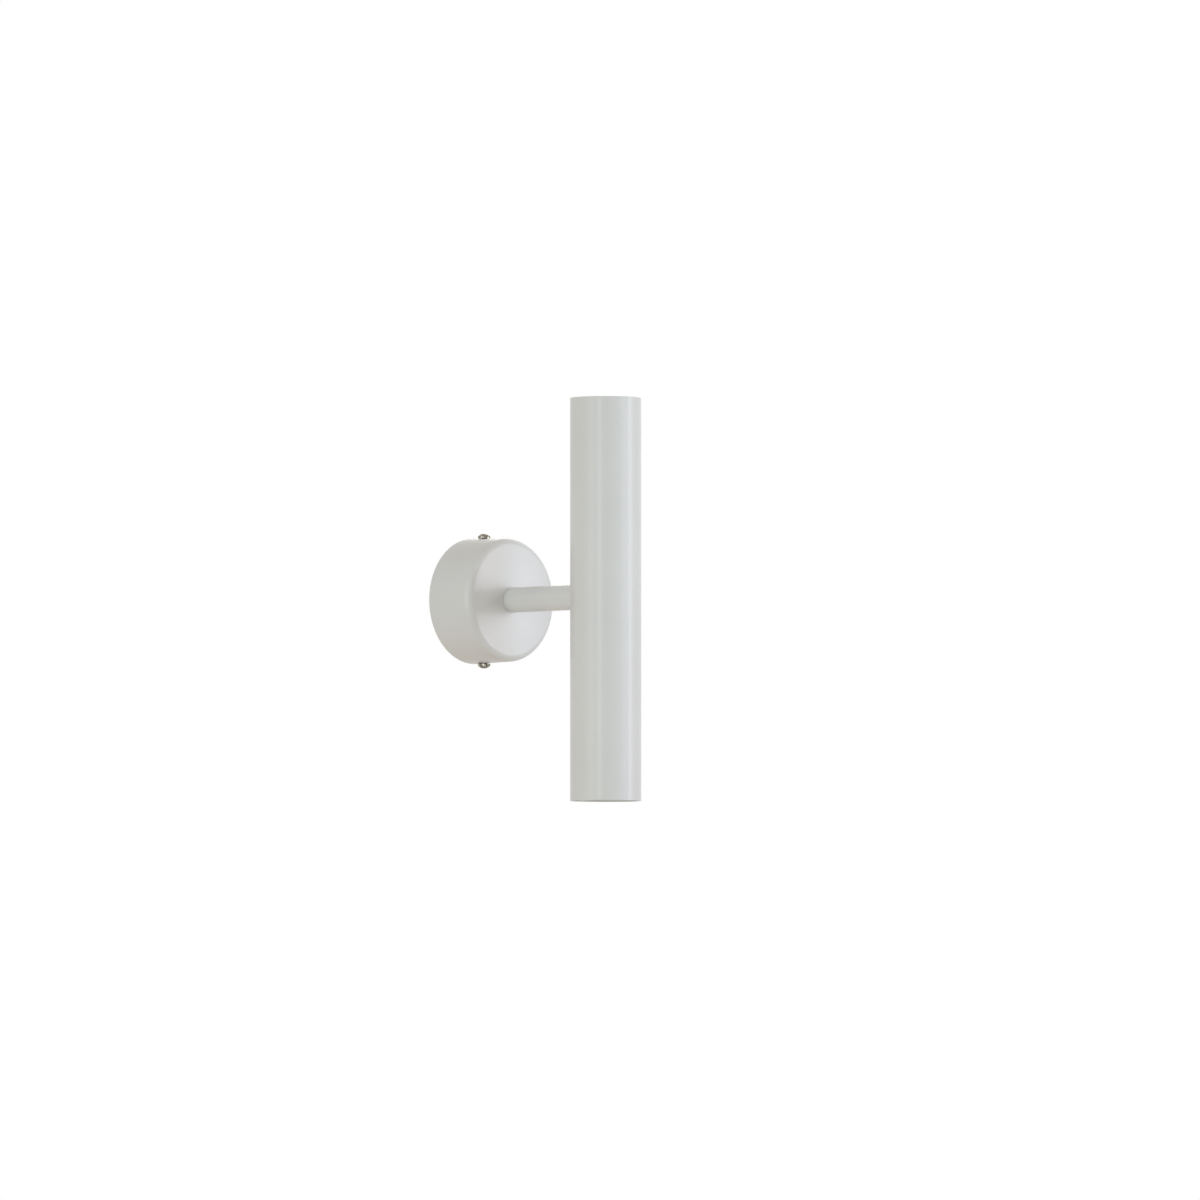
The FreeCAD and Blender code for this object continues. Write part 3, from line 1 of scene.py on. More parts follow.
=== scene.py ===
import logging
import math
from collections.abc import Sequence
from dataclasses import dataclass, replace
from enum import Enum
from functools import cached_property
from typing import ClassVar

import bmesh
import bpy
from mathutils import Matrix, Vector


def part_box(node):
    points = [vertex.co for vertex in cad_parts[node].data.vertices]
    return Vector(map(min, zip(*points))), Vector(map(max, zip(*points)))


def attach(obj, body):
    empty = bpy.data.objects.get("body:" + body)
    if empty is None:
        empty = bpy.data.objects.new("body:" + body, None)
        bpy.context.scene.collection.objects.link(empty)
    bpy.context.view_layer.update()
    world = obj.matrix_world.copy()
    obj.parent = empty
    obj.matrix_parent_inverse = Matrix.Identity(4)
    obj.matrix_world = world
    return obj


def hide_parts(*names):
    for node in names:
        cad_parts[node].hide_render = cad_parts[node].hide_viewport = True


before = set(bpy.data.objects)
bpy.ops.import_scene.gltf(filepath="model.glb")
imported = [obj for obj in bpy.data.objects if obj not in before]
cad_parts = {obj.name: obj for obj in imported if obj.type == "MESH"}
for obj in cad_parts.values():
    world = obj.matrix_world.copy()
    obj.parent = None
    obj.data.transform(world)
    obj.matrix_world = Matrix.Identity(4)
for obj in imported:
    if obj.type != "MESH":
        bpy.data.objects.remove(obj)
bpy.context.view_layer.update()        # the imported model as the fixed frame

# Twin wall light: canopy on the wall, short arm, upright tube with a lamp at each end.
# Sizes are in millimetres in each piece's own frame; finished meshes are in metres.
# Sizes inside the finishes are in metres.

LOG = logging.getLogger("twin_wall_light")
MM = 0.001
TINY = 1e-6
WELD = 1e-4
FULL_TURN = 2 * math.pi
QUARTER_TURN = math.pi / 2
PHOTO_PIXELS = 1200

Colour = tuple[float, float, float]
Corner = tuple[float, float, float]
Flat = tuple[float, float]
Point = tuple[float, float, float]
Shape = bmesh.types.BMesh
Material = bpy.types.Material

WHITE: Colour = (1.0, 1.0, 1.0)


class Body(Enum):
    """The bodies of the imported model."""

    FIXTURE = "fixture"
    UPPER_LAMP = "upper_lamp"
    LOWER_LAMP = "lower_lamp"


class Stance(Enum):
    """Turn about X in degrees: a piece's own +Z points up, out from the wall or down."""

    UPRIGHT = 0
    FROM_WALL = 90
    HANGING = 180

    def at(self, x: float = 0.0, y: float = 0.0, z: float = 0.0) -> Matrix:
        """Place of a piece in this stance, with its origin in millimetres."""
        turn = Matrix.Rotation(math.radians(self.value), 4, "X")
        return Matrix.Translation((x, y, z)) @ turn


class End(Enum):
    """The two ends of the light tube, each with its stance, its lamp's body and its way out."""

    UPPER = (Stance.UPRIGHT, Body.UPPER_LAMP, 1)
    LOWER = (Stance.HANGING, Body.LOWER_LAMP, -1)

    def __init__(self, stance: Stance, lamp: Body, way: int) -> None:
        """Keeps what differs between the ends.

        Args:
            stance: how pieces stand at this end.
            lamp: body of the lamp at this end.
            way: 1 where outward is up, -1 where it is down.
        """
        self.stance = stance
        self.lamp = lamp
        self.way = way

    def named(self, part: str) -> str:
        """Name of a part at this end."""
        return f"{self.name.lower()}_{part}"

    def levels(self, node: str) -> tuple[float, float]:
        """Heights of a node's inner and outer side, in millimetres."""
        low, high = node_box(node)
        return (low.z, high.z) if self.way > 0 else (high.z, low.z)


# Shader expressions


@dataclass(frozen=True)
class Field:
    """A node's output that varies over a surface; arithmetic on values adds Math nodes."""

    surface: "Surface"
    socket: bpy.types.NodeSocket

    def maths(self, operation: str, *terms: "Amount") -> "Field":
        """One Math node on the given terms."""
        inputs = dict(enumerate(terms))
        return self.surface.add("ShaderNodeMath", {"operation": operation}, inputs)

    def __add__(self, other: "Amount") -> "Field":
        """This value plus another."""
        return self.maths("ADD", self, other)

    def __radd__(self, other: "Amount") -> "Field":
        """Another value plus this one."""
        return self.maths("ADD", other, self)

    def __sub__(self, other: "Amount") -> "Field":
        """This value less another."""
        return self.maths("SUBTRACT", self, other)

    def __rsub__(self, other: "Amount") -> "Field":
        """Another value less this one."""
        return self.maths("SUBTRACT", other, self)

    def __mul__(self, other: "Amount") -> "Field":
        """This value times another."""
        return self.maths("MULTIPLY", self, other)

    def __rmul__(self, other: "Amount") -> "Field":
        """Another value times this one."""
        return self.maths("MULTIPLY", other, self)

    def larger(self, other: "Amount") -> "Field":
        """The larger of this value and another."""
        return self.maths("MAXIMUM", self, other)

    def size(self) -> "Field":
        """This value without its sign."""
        return self.maths("ABSOLUTE", self)

    def sine(self) -> "Field":
        """Sine of this value in radians."""
        return self.maths("SINE", self)

    def swing(self, width: float) -> "Field":
        """Noise about 0.5 turned into a change about 0, so many wide."""
        return (self - 0.5) * width

    def between(self, low: float, high: float) -> "Field":
        """Smooth mask that rises from 0 at low to 1 at high."""
        inputs = {"Value": self, "From Min": low, "From Max": high}
        return self.surface.add("ShaderNodeMapRange", {"interpolation_type": "SMOOTHSTEP"}, inputs)


Amount = float | Field


class Surface:
    """The node tree of one material or of the world."""

    def __init__(self, holder: Material | bpy.types.World, end: str) -> None:
        """Starts an empty tree.

        Args:
            holder: the material or world that owns the tree.
            end: type of the output node.
        """
        holder.use_nodes = True
        self.holder = holder
        self.tree = holder.node_tree
        self.tree.nodes.clear()
        self.end = self.tree.nodes.new(end)

    def feed(self, socket: bpy.types.NodeSocket, value: object) -> None:
        """Links a field to a socket, or sets the socket to a plain value.

        Args:
            socket: the input to feed.
            value: a field, a number, a vector or a colour.
        """
        if isinstance(value, Field):
            self.tree.links.new(value.socket, socket)
        elif isinstance(value, tuple) and socket.type == "RGBA":
            socket.default_value = (*value, 1.0)
        else:
            socket.default_value = value

    def add(
        self,
        kind: str,
        settings: dict[str, object] | None = None,
        inputs: dict[str | int, object] | None = None,
        output: str | int = 0,
    ) -> Field:
        """Adds a node.

        Args:
            kind: type of the node.
            settings: properties of the node, which are set first.
            inputs: values or links by socket.
            output: the output to hand back.

        Returns:
            The chosen output as a field.
        """
        node = self.tree.nodes.new(kind)
        for name, value in (settings or {}).items():
            setattr(node, name, value)
        for name, value in (inputs or {}).items():
            self.feed(node.inputs[name], value)
        return Field(self, node.outputs[output])

    def place(self) -> Field:
        """Position on the piece, in metres."""
        return self.add("ShaderNodeTexCoord", output="Object")

    def stretched(self, scale: Point) -> Field:
        """Position on the piece, scaled along each axis."""
        return self.add("ShaderNodeMapping", {}, {"Vector": self.place(), "Scale": scale})

    def noise(self, size: float, detail: float = 2.0, where: Field | None = None) -> Field:
        """Noise about 0.5 whose grains are as large as size, in metres."""
        inputs = {"Vector": where or self.place(), "Scale": 1.0 / size, "Detail": detail}
        return self.add("ShaderNodeTexNoise", {}, inputs)

    def cells(self, size: float) -> Field:
        """Distance to scattered points that lie about size apart, in metres."""
        inputs = {"Vector": self.place(), "Scale": 1.0 / size}
        return self.add("ShaderNodeTexVoronoi", {"feature": "F1"}, inputs)

    def attribute(self, name: str) -> Field:
        """A value kept on the mesh."""
        return self.add("ShaderNodeAttribute", {"attribute_name": name}, {}, "Fac")

    def blend(self, share: Amount, first: object, second: object) -> Field:
        """A colour between two colours."""
        return self.add("ShaderNodeMix", {"data_type": "RGBA"}, {0: share, 6: first, 7: second}, 2)

    def bump(self, height: Field, depth: float) -> Field:
        """Normal that follows a height between 0 and 1, depth metres deep."""
        return self.add("ShaderNodeBump", {}, {"Height": height, "Distance": depth})

    def close(self, shader: Field) -> Material | bpy.types.World:
        """Ends the tree with a shader; hands back the material or world."""
        self.tree.links.new(shader.socket, self.end.inputs["Surface"])
        return self.holder

    def principled(self, **inputs: object) -> Material:
        """Ends the tree with the principled shader; underscores stand for blanks in names."""
        named = {name.replace("_", " "): value for name, value in inputs.items()}
        return self.close(self.add("ShaderNodeBsdfPrincipled", {}, named))


def new_surface(name: str) -> Surface:
    """Surface of a new material."""
    return Surface(bpy.data.materials.new(name), "ShaderNodeOutputMaterial")


def shade(colour: Colour, share: float) -> Colour:
    """A colour made deeper, or paler where the share is above 1."""
    return tuple(min(1.0, channel * share) for channel in colour)


# Finishes


@dataclass(frozen=True)
class PowderCoat:
    """Baked powder paint with a fine orange peel and a few specks of dust under it."""

    name: str
    colour: Colour
    roughness: float
    peel: float = 0.0014
    grain: float = 0.00032
    peel_depth: float = 0.000028
    grain_depth: float = 0.000007
    cloud: float = 0.045
    speck_gap: float = 0.0085
    speck_edge: Flat = (0.018, 0.034)
    film: float = 0.25
    film_roughness: float = 0.16

    def make(self) -> Material:
        """Mixes the paint.

        Returns:
            Its material.
        """
        surface = new_surface(self.name)
        peel = surface.noise(self.peel, 1.0)
        grain = surface.noise(self.grain, 2.0)
        cloud = surface.noise(self.cloud, 3.0)
        speck = 1.0 - surface.cells(self.speck_gap).between(*self.speck_edge)
        share = (cloud * 0.7 + grain * 0.3).between(0.3, 0.7)
        tone = surface.blend(share, shade(self.colour, 0.978), shade(self.colour, 1.018))
        height = peel * (self.peel_depth / self.grain_depth) + grain + speck * 1.6
        return surface.principled(
            Base_Color=surface.blend(speck * 0.5, tone, shade(self.colour, 0.86)),
            Roughness=self.roughness + grain.swing(0.16) + cloud.swing(0.06),
            IOR=1.5,
            Coat_Weight=self.film,
            Coat_Roughness=self.film_roughness,
            Normal=surface.bump(height, self.grain_depth),
        )


@dataclass(frozen=True)
class PlatedMetal:
    """Plated or bare metal with drawing lines, cloudy plating and small pits; where the deep
    colour is near black, as on the nickel, the clouds are painted dark reflections.
    """

    name: str
    pale: Colour
    deep: Colour
    roughness: float
    cloud: float = 0.006
    line: float = 0.0042
    stretch: Point = (1.0, 14.0, 14.0)
    line_depth: float = 0.0000025
    pit: float = 0.00045

    def make(self) -> Material:
        """Mixes the metal.

        Returns:
            Its material.
        """
        surface = new_surface(self.name)
        cloud = surface.noise(self.cloud, 3.0)
        drawn = surface.noise(self.line, 3.0, surface.stretched(self.stretch))
        pits = surface.noise(self.pit, 1.0).between(0.62, 0.72)
        # Deep to pale by clouds and lines: plating tone on zinc, brass and tin, painted dark
        # reflections on the nickel.
        share = (cloud * 0.65 + drawn * 0.35).between(0.34, 0.66)
        return surface.principled(
            Base_Color=surface.blend(share, self.deep, self.pale),
            Metallic=1.0,
            Roughness=self.roughness + cloud.swing(0.22) + drawn.swing(0.16),
            Normal=surface.bump(drawn - pits * 0.4, self.line_depth),
        )


@dataclass(frozen=True)
class GlazedCeramic:
    """Steatite with a thin glaze, a little uneven and lightly flecked."""

    name: str = "glazed_steatite"
    colour: Colour = (0.78, 0.75, 0.66)
    fleck: Colour = (0.55, 0.49, 0.38)
    fleck_gap: float = 0.0024
    fleck_edge: Flat = (0.06, 0.13)
    ripple: float = 0.003
    ripple_depth: float = 0.00004
    cloud: float = 0.012
    roughness: float = 0.24
    glaze: float = 0.35
    glaze_roughness: float = 0.08

    def make(self) -> Material:
        """Mixes the ceramic.

        Returns:
            Its material.
        """
        surface = new_surface(self.name)
        ripple = surface.noise(self.ripple, 2.0)
        flecks = 1.0 - surface.cells(self.fleck_gap).between(*self.fleck_edge)
        cloud = surface.noise(self.cloud, 2.0)
        body = surface.blend(cloud.between(0.3, 0.7), shade(self.colour, 0.94), self.colour)
        return surface.principled(
            Base_Color=surface.blend(flecks * 0.45, body, self.fleck),
            Roughness=self.roughness + ripple.swing(0.16),
            IOR=1.56,
            Coat_Weight=self.glaze + cloud.swing(0.4),
            Coat_Roughness=self.glaze_roughness,
            Normal=surface.bump(ripple, self.ripple_depth),
        )


@dataclass(frozen=True)
class MouldedPlastic:
    """Moulded plastic with a faint spark-eroded grain and flow lines."""

    name: str
    colour: Colour
    roughness: float = 0.42
    grain: float = 0.0004
    grain_depth: float = 0.000012
    flow: float = 0.011
    stretch: Point = (1.0, 2.6, 0.7)
    softness: float = 0.08
    scatter: Point = (0.004, 0.0035, 0.003)
    scatter_scale: float = 0.3

    def make(self) -> Material:
        """Mixes the plastic.

        Returns:
            Its material.
        """
        surface = new_surface(self.name)
        grain = surface.noise(self.grain, 2.0)
        flow = surface.noise(self.flow, 2.0, surface.stretched(self.stretch))
        share = flow.between(0.3, 0.7)
        return surface.principled(
            Base_Color=surface.blend(share, shade(self.colour, 0.93), self.colour),
            Roughness=self.roughness + grain.swing(0.2) + flow.swing(0.1),
            IOR=1.5,
            Subsurface_Weight=self.softness,
            Subsurface_Radius=self.scatter,
            Subsurface_Scale=self.scatter_scale,
            Normal=surface.bump(grain, self.grain_depth),
        )


@dataclass(frozen=True)
class Insulation:
    """Lead insulation, in stripes where it has a second colour, over bare strands at its ends,
    with painted shade in the grooves between the strands.
    """

    name: str
    colour: Colour
    stripe: Colour | None = None
    bare: Colour = (0.80, 0.62, 0.46)
    grain: float = 0.0005
    depth: float = 0.00002
    roughness: float = 0.46

    def make(self) -> Material:
        """Mixes the insulation and its strands.

        Returns:
            Their material.
        """
        surface = new_surface(self.name)
        grain = surface.noise(self.grain, 2.0)
        stripe = surface.attribute("stripe").between(0.30, 0.42)
        bare = surface.attribute("bare").between(0.45, 0.55)
        strand = surface.attribute("strand").size()
        sleeve = surface.blend(stripe, self.colour, self.stripe or self.colour)
        # Bare strands go darker towards the grooves between them: painted shade.
        wire = surface.blend(strand, shade(self.bare, 0.55), self.bare)
        return surface.principled(
            Base_Color=surface.blend(bare, sleeve, wire),
            Metallic=bare,
            Roughness=self.roughness + grain.swing(0.2) - bare * 0.16,
            Normal=surface.bump(grain * (1.0 - bare) + strand * bare * 3.0, self.depth),
        )


@dataclass(frozen=True)
class ClearLens:
    """Clear moulded lens with faint moulding waves and a trace of smears."""

    name: str = "clear_lens"
    colour: Colour = (0.965, 0.975, 0.98)
    wave: float = 0.0045
    wave_depth: float = 0.000012
    smear: float = 0.009
    roughness: float = 0.025

    def make(self) -> Material:
        """Mixes the lens.

        Returns:
            Its material.
        """
        surface = new_surface(self.name)
        wave = surface.noise(self.wave, 1.0)
        smear = surface.noise(self.smear, 3.0).between(0.45, 0.75)
        return surface.principled(
            Base_Color=self.colour,
            Roughness=self.roughness + smear * 0.05,
            IOR=1.49,
            Transmission_Weight=1.0,
            Normal=surface.bump(wave, self.wave_depth),
        )


@dataclass(frozen=True)
class Phosphor:
    """Yellow silicone over the light-emitting chips, with their grid just showing."""

    name: str = "phosphor"
    colour: Colour = (0.86, 0.60, 0.07)
    chip: Colour = (0.70, 0.40, 0.03)
    pitch: float = 0.00115
    grain: float = 0.00022
    depth: float = 0.00002
    roughness: float = 0.22
    film: float = 0.5
    film_roughness: float = 0.1

    def make(self) -> Material:
        """Mixes the phosphor.

        Returns:
            Its material.
        """
        surface = new_surface(self.name)
        grain = surface.noise(self.grain, 2.0)
        wave = math.pi / self.pitch
        across, along = (
            (surface.add("ShaderNodeSeparateXYZ", {}, {0: surface.place()}, axis) * wave).sine()
            for axis in ("X", "Y")
        )
        chips = (across.size() * along.size()).between(0.30, 0.62)
        return surface.principled(
            Base_Color=surface.blend(chips * 0.6 + grain * 0.2, self.colour, self.chip),
            Roughness=self.roughness + grain.swing(0.15),
            Coat_Weight=self.film + grain.swing(0.3),
            Coat_Roughness=self.film_roughness,
            Normal=surface.bump(grain + chips * 0.6, self.depth),
        )


class Finish(Enum):
    """Every finish of the light."""

    COAT = PowderCoat("white_powder_coat", (0.735, 0.735, 0.72), 0.45)
    TRIM = PowderCoat("matt_white_trim", (0.70, 0.70, 0.685), 0.60)
    SHELL = PowderCoat("white_lamp_shell", (0.66, 0.66, 0.645), 0.42, 0.0009, 0.0002)
    BOARD = PowderCoat("white_solder_mask", (0.80, 0.80, 0.77), 0.30, 0.0006, 0.00015)
    # The nickel's near-black deep colour paints dark reflections into its clouds.
    NICKEL = PlatedMetal("bright_nickel_painted_reflections", (0.50, 0.45, 0.37), (0.06, 0.05, 0.04), 0.12, 0.0016)
    ZINC = PlatedMetal("zinc_plating", (0.66, 0.69, 0.73), (0.50, 0.51, 0.50), 0.34, 0.007)
    BRASS = PlatedMetal("turned_brass", (0.83, 0.62, 0.28), (0.62, 0.42, 0.16), 0.28, 0.004)
    TIN = PlatedMetal("tinned_copper", (0.74, 0.73, 0.70), (0.55, 0.50, 0.43), 0.32, 0.003)
    CERAMIC = GlazedCeramic()
    POLYAMIDE = MouldedPlastic("natural_polyamide", (0.78, 0.77, 0.70))
    NYLON = MouldedPlastic("white_nylon", (0.80, 0.80, 0.76), 0.38)
    CAP = MouldedPlastic("white_cap_plastic", (0.79, 0.79, 0.77), 0.26, 0.0006)
    BROWN = Insulation("brown_lead", (0.16, 0.065, 0.03))
    BLUE = Insulation("blue_lead", (0.035, 0.12, 0.42))
    EARTH = Insulation("green_yellow_lead", (0.04, 0.26, 0.05), (0.80, 0.66, 0.03))
    LENS = ClearLens()
    PHOSPHOR = Phosphor()

    @cached_property
    def material(self) -> Material:
        """Its material, made when it is first asked for."""
        return self.value.make()

    def dress(self, *nodes: str) -> None:
        """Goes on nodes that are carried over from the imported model.

        Args:
            nodes: their names.
        """
        for name in nodes:
            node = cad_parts[name]
            for entry in node.material_slots:
                entry.material = self.material
            if not node.material_slots:
                node.data.materials.append(self.material)
            LOG.info("%s wears %s", name, self.value.name)


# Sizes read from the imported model


def node_box(name: str) -> tuple[Vector, Vector]:
    """Lowest and highest corner of a node, in millimetres."""
    low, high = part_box(name)
    return low / MM, high / MM


def node_radius(name: str) -> float:
    """Half the width of a node, in millimetres."""
    low, high = node_box(name)
    return (high.x - low.x) / 2


def node_axis(name: str) -> float:
    """Y of the middle of a node, in millimetres."""
    low, high = node_box(name)
    return (low.y + high.y) / 2


# Mesh tools


def on_circle(radius: float, angle: float, height: float) -> Point:
    """Point about Z."""
    return radius * math.cos(angle), radius * math.sin(angle), height


def rounded(corners: Sequence[Corner], closed: bool = True, steps: int = 5) -> list[Flat]:
    """Rounds the corners of a section.

    Args:
        corners: radius, height and rounding of each corner.
        closed: whether the last corner joins the first.
        steps: edges of each rounding.

    Returns:
        The points of the section.
    """
    points: list[Flat] = []
    last = len(corners) - 1
    for index, (radius, height, rounding) in enumerate(corners):
        corner = Vector((radius, height))
        if rounding <= 0 or (not closed and index in (0, last)):
            points.append((radius, height))
            continue
        back = (Vector(corners[index - 1][:2]) - corner).normalized()
        ahead = (Vector(corners[(index + 1) % len(corners)][:2]) - corner).normalized()
        half = back.angle(ahead) / 2
        centre = corner + (back + ahead).normalized() * (rounding / math.sin(half))
        start = corner + back * (rounding / math.tan(half)) - centre
        end = corner + ahead * (rounding / math.tan(half)) - centre
        sweep = start.angle(end)
        for step in range(steps + 1):
            share = step / steps
            spoke = start * math.sin((1 - share) * sweep) + end * math.sin(share * sweep)
            points.append(tuple(centre + spoke / math.sin(sweep)))
    return points


def turned(section: Sequence[Flat], columns: int, closed: bool = True) -> Shape:
    """Turns a section round Z.

    Args:
        section: radius and height of its points.
        columns: faces round the turn.
        closed: whether the last point joins the first.

    Returns:
        The turned skin.
    """
    shape = bmesh.new()
    rings = []
    for radius, height in section:
        if radius < TINY:
            rings.append([shape.verts.new((0.0, 0.0, height))])
            continue
        spots = [on_circle(radius, FULL_TURN * step / columns, height) for step in range(columns)]
        rings.append([shape.verts.new(spot) for spot in spots])
    for low, high in zip(rings, rings[1:] + (rings[:1] if closed else [])):
        if len(low) == 1 and len(high) == 1:
            continue
        for column in range(columns):
            after = column + 1
            loop = [low[column % len(low)], low[after % len(low)]]
            loop += [high[after % len(high)], high[column % len(high)]]
            shape.faces.new(list(dict.fromkeys(loop)))
    return shape


def thread_skin(
    minor: float, major: float, low: float, high: float, pitch: float, columns: int
) -> Shape:
    """Skin of a right-hand screw thread that runs out at both ends.

    Args:
        minor: radius at the root.
        major: radius at the crest.
        low: height where it starts.
        high: height where it ends.
        pitch: rise of one turn.
        columns: faces round the turn.

    Returns:
        The skin, open at both ends.
    """
    shape = bmesh.new()
    # One ridge: share of the pitch, share of the depth
    ridge = ((0.0, 0.0), (0.42, 1.0), (0.56, 1.0), (0.97, 0.0))
    rows = columns * (math.ceil((high - low) / pitch) + 2)
    grid = []
    for row in range(rows + 1):
        line = []
        for share, crest in ridge:
            height = low + pitch * (row / columns - 1 + share)
            fade = min(1.0, max(0.0, (height - low) / pitch), max(0.0, (high - height) / pitch))
            radius = minor + (major - minor) * crest * fade
            height = min(max(height, low), high)
            line.append(shape.verts.new(on_circle(radius, FULL_TURN * row / columns, height)))
        grid.append(line)
    for row, (near, far) in enumerate(zip(grid, grid[1:])):
        for step in range(len(ridge) - 1):
            shape.faces.new((near[step], far[step], far[step + 1], near[step + 1]))
        if row + columns < rows:
            after, beyond = grid[row + columns], grid[row + columns + 1]
            shape.faces.new((near[-1], far[-1], beyond[0], after[0]))
    return shape


def mesh_of(shape: Shape, name: str) -> bpy.types.Mesh:
    """Turns a shape into mesh data.

    Args:
        shape: the shape; it is used up.
        name: name of the data.

    Returns:
        The new data.
    """
    mesh = bpy.data.meshes.new(name)
    shape.to_mesh(mesh)
    shape.free()
    return mesh


def placed(name: str, data: bpy.types.ID) -> bpy.types.Object:
    """Puts a new object into the scene.

    Args:
        name: name of the object.
        data: its mesh, light or camera.

    Returns:
        The object.
    """
    thing = bpy.data.objects.new(name, data)
    bpy.context.scene.collection.objects.link(thing)
    return thing


def joined(*shapes: Shape) -> Shape:
    """Welds several skins into one.

    Args:
        shapes: the skins; they are used up.

    Returns:
        The welded skin.
    """
    whole = bmesh.new()
    for shape in shapes:
        mesh = mesh_of(shape, "part")
        whole.from_mesh(mesh)
        bpy.data.meshes.remove(mesh)
    bmesh.ops.remove_doubles(whole, verts=whole.verts, dist=WELD)
    bmesh.ops.dissolve_degenerate(whole, edges=whole.edges, dist=WELD)
    bmesh.ops.recalc_face_normals(whole, faces=whole.faces)
    return whole


def moved(shape: Shape, place: Matrix) -> Shape:
    """The same shape at another place."""
    bmesh.ops.transform(shape, matrix=place, verts=shape.verts)
    return shape


class Cut(Enum):
    """What a second closed shape does to the first."""

    TAKES_AWAY = "DIFFERENCE"
    ADDS = "UNION"


def carved(shape: Shape, other: Shape, cut: Cut = Cut.TAKES_AWAY) -> Shape:
    """Changes one closed shape by another.

    Args:
        shape: what is changed; it is used up.
        other: what it is changed by; it is used up.
        cut: what the other shape does.

    Returns:
        The new shape.
    """
    things = []
    for part in (shape, other):
        bmesh.ops.recalc_face_normals(part, faces=part.faces)
        things.append(placed("blank", mesh_of(part, "blank")))
    step = things[0].modifiers.new("cut", "BOOLEAN")
    step.operation = cut.value
    step.solver = "EXACT"
    step.object = things[1]
    view = bpy.context.evaluated_depsgraph_get()
    mesh = bpy.data.meshes.new_from_object(things[0].evaluated_get(view))
    result = bmesh.new()
    result.from_mesh(mesh)
    bpy.data.meshes.remove(mesh)
    for thing in things:
        old = thing.data
        bpy.data.objects.remove(thing)
        bpy.data.meshes.remove(old)
    return result


def rod(radius: float, low: float, high: float, columns: int = 48) -> Shape:
    """Plain round cutter along Z."""
    return turned([(0, low), (radius, low), (radius, high), (0, high)], columns, closed=False)


def block(low: Point, high: Point) -> Shape:
    """Plain square cutter.

    Args:
        low: its lowest corner.
        high: its highest corner.

    Returns:
        The cutter.
    """
    shape = bmesh.new()
    bmesh.ops.create_cube(shape, size=1.0)
    span = Vector(high) - Vector(low)
    middle = (Vector(high) + Vector(low)) / 2
    return moved(shape, Matrix.LocRotScale(middle, None, span))


@dataclass(frozen=True)
class Piece:
    """Where a finished mesh belongs."""

    name: str
    slot: str
    stands_for: tuple[str, ...] = ()
    sharp: float = 30.0
    body: Body = Body.FIXTURE

    def show(self, shape: Shape, finish: Finish) -> None:
        """Puts a mesh that is in millimetres into the scene.

        Args:
            shape: the mesh; it is used up.
            finish: its finish.
        """
        bmesh.ops.scale(shape, vec=(MM, MM, MM), verts=shape.verts)
        bmesh.ops.recalc_face_normals(shape, faces=shape.faces)
        mesh = mesh_of(shape, self.name)
        mesh.shade_smooth()
        mesh.set_sharp_from_angle(angle=math.radians(self.sharp))
        mesh.materials.append(finish.material)
        thing = placed(self.name, mesh)
        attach(thing, self.body.value)
        if self.stands_for:
            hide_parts(*self.stands_for)
        LOG.info("%s: %d faces on %s", self.name, len(mesh.polygons), self.body.value)


# Screws


class Drive(Enum):
    """What a screwdriver fits."""

    CROSS = "cross"
    SLOT = "slot"


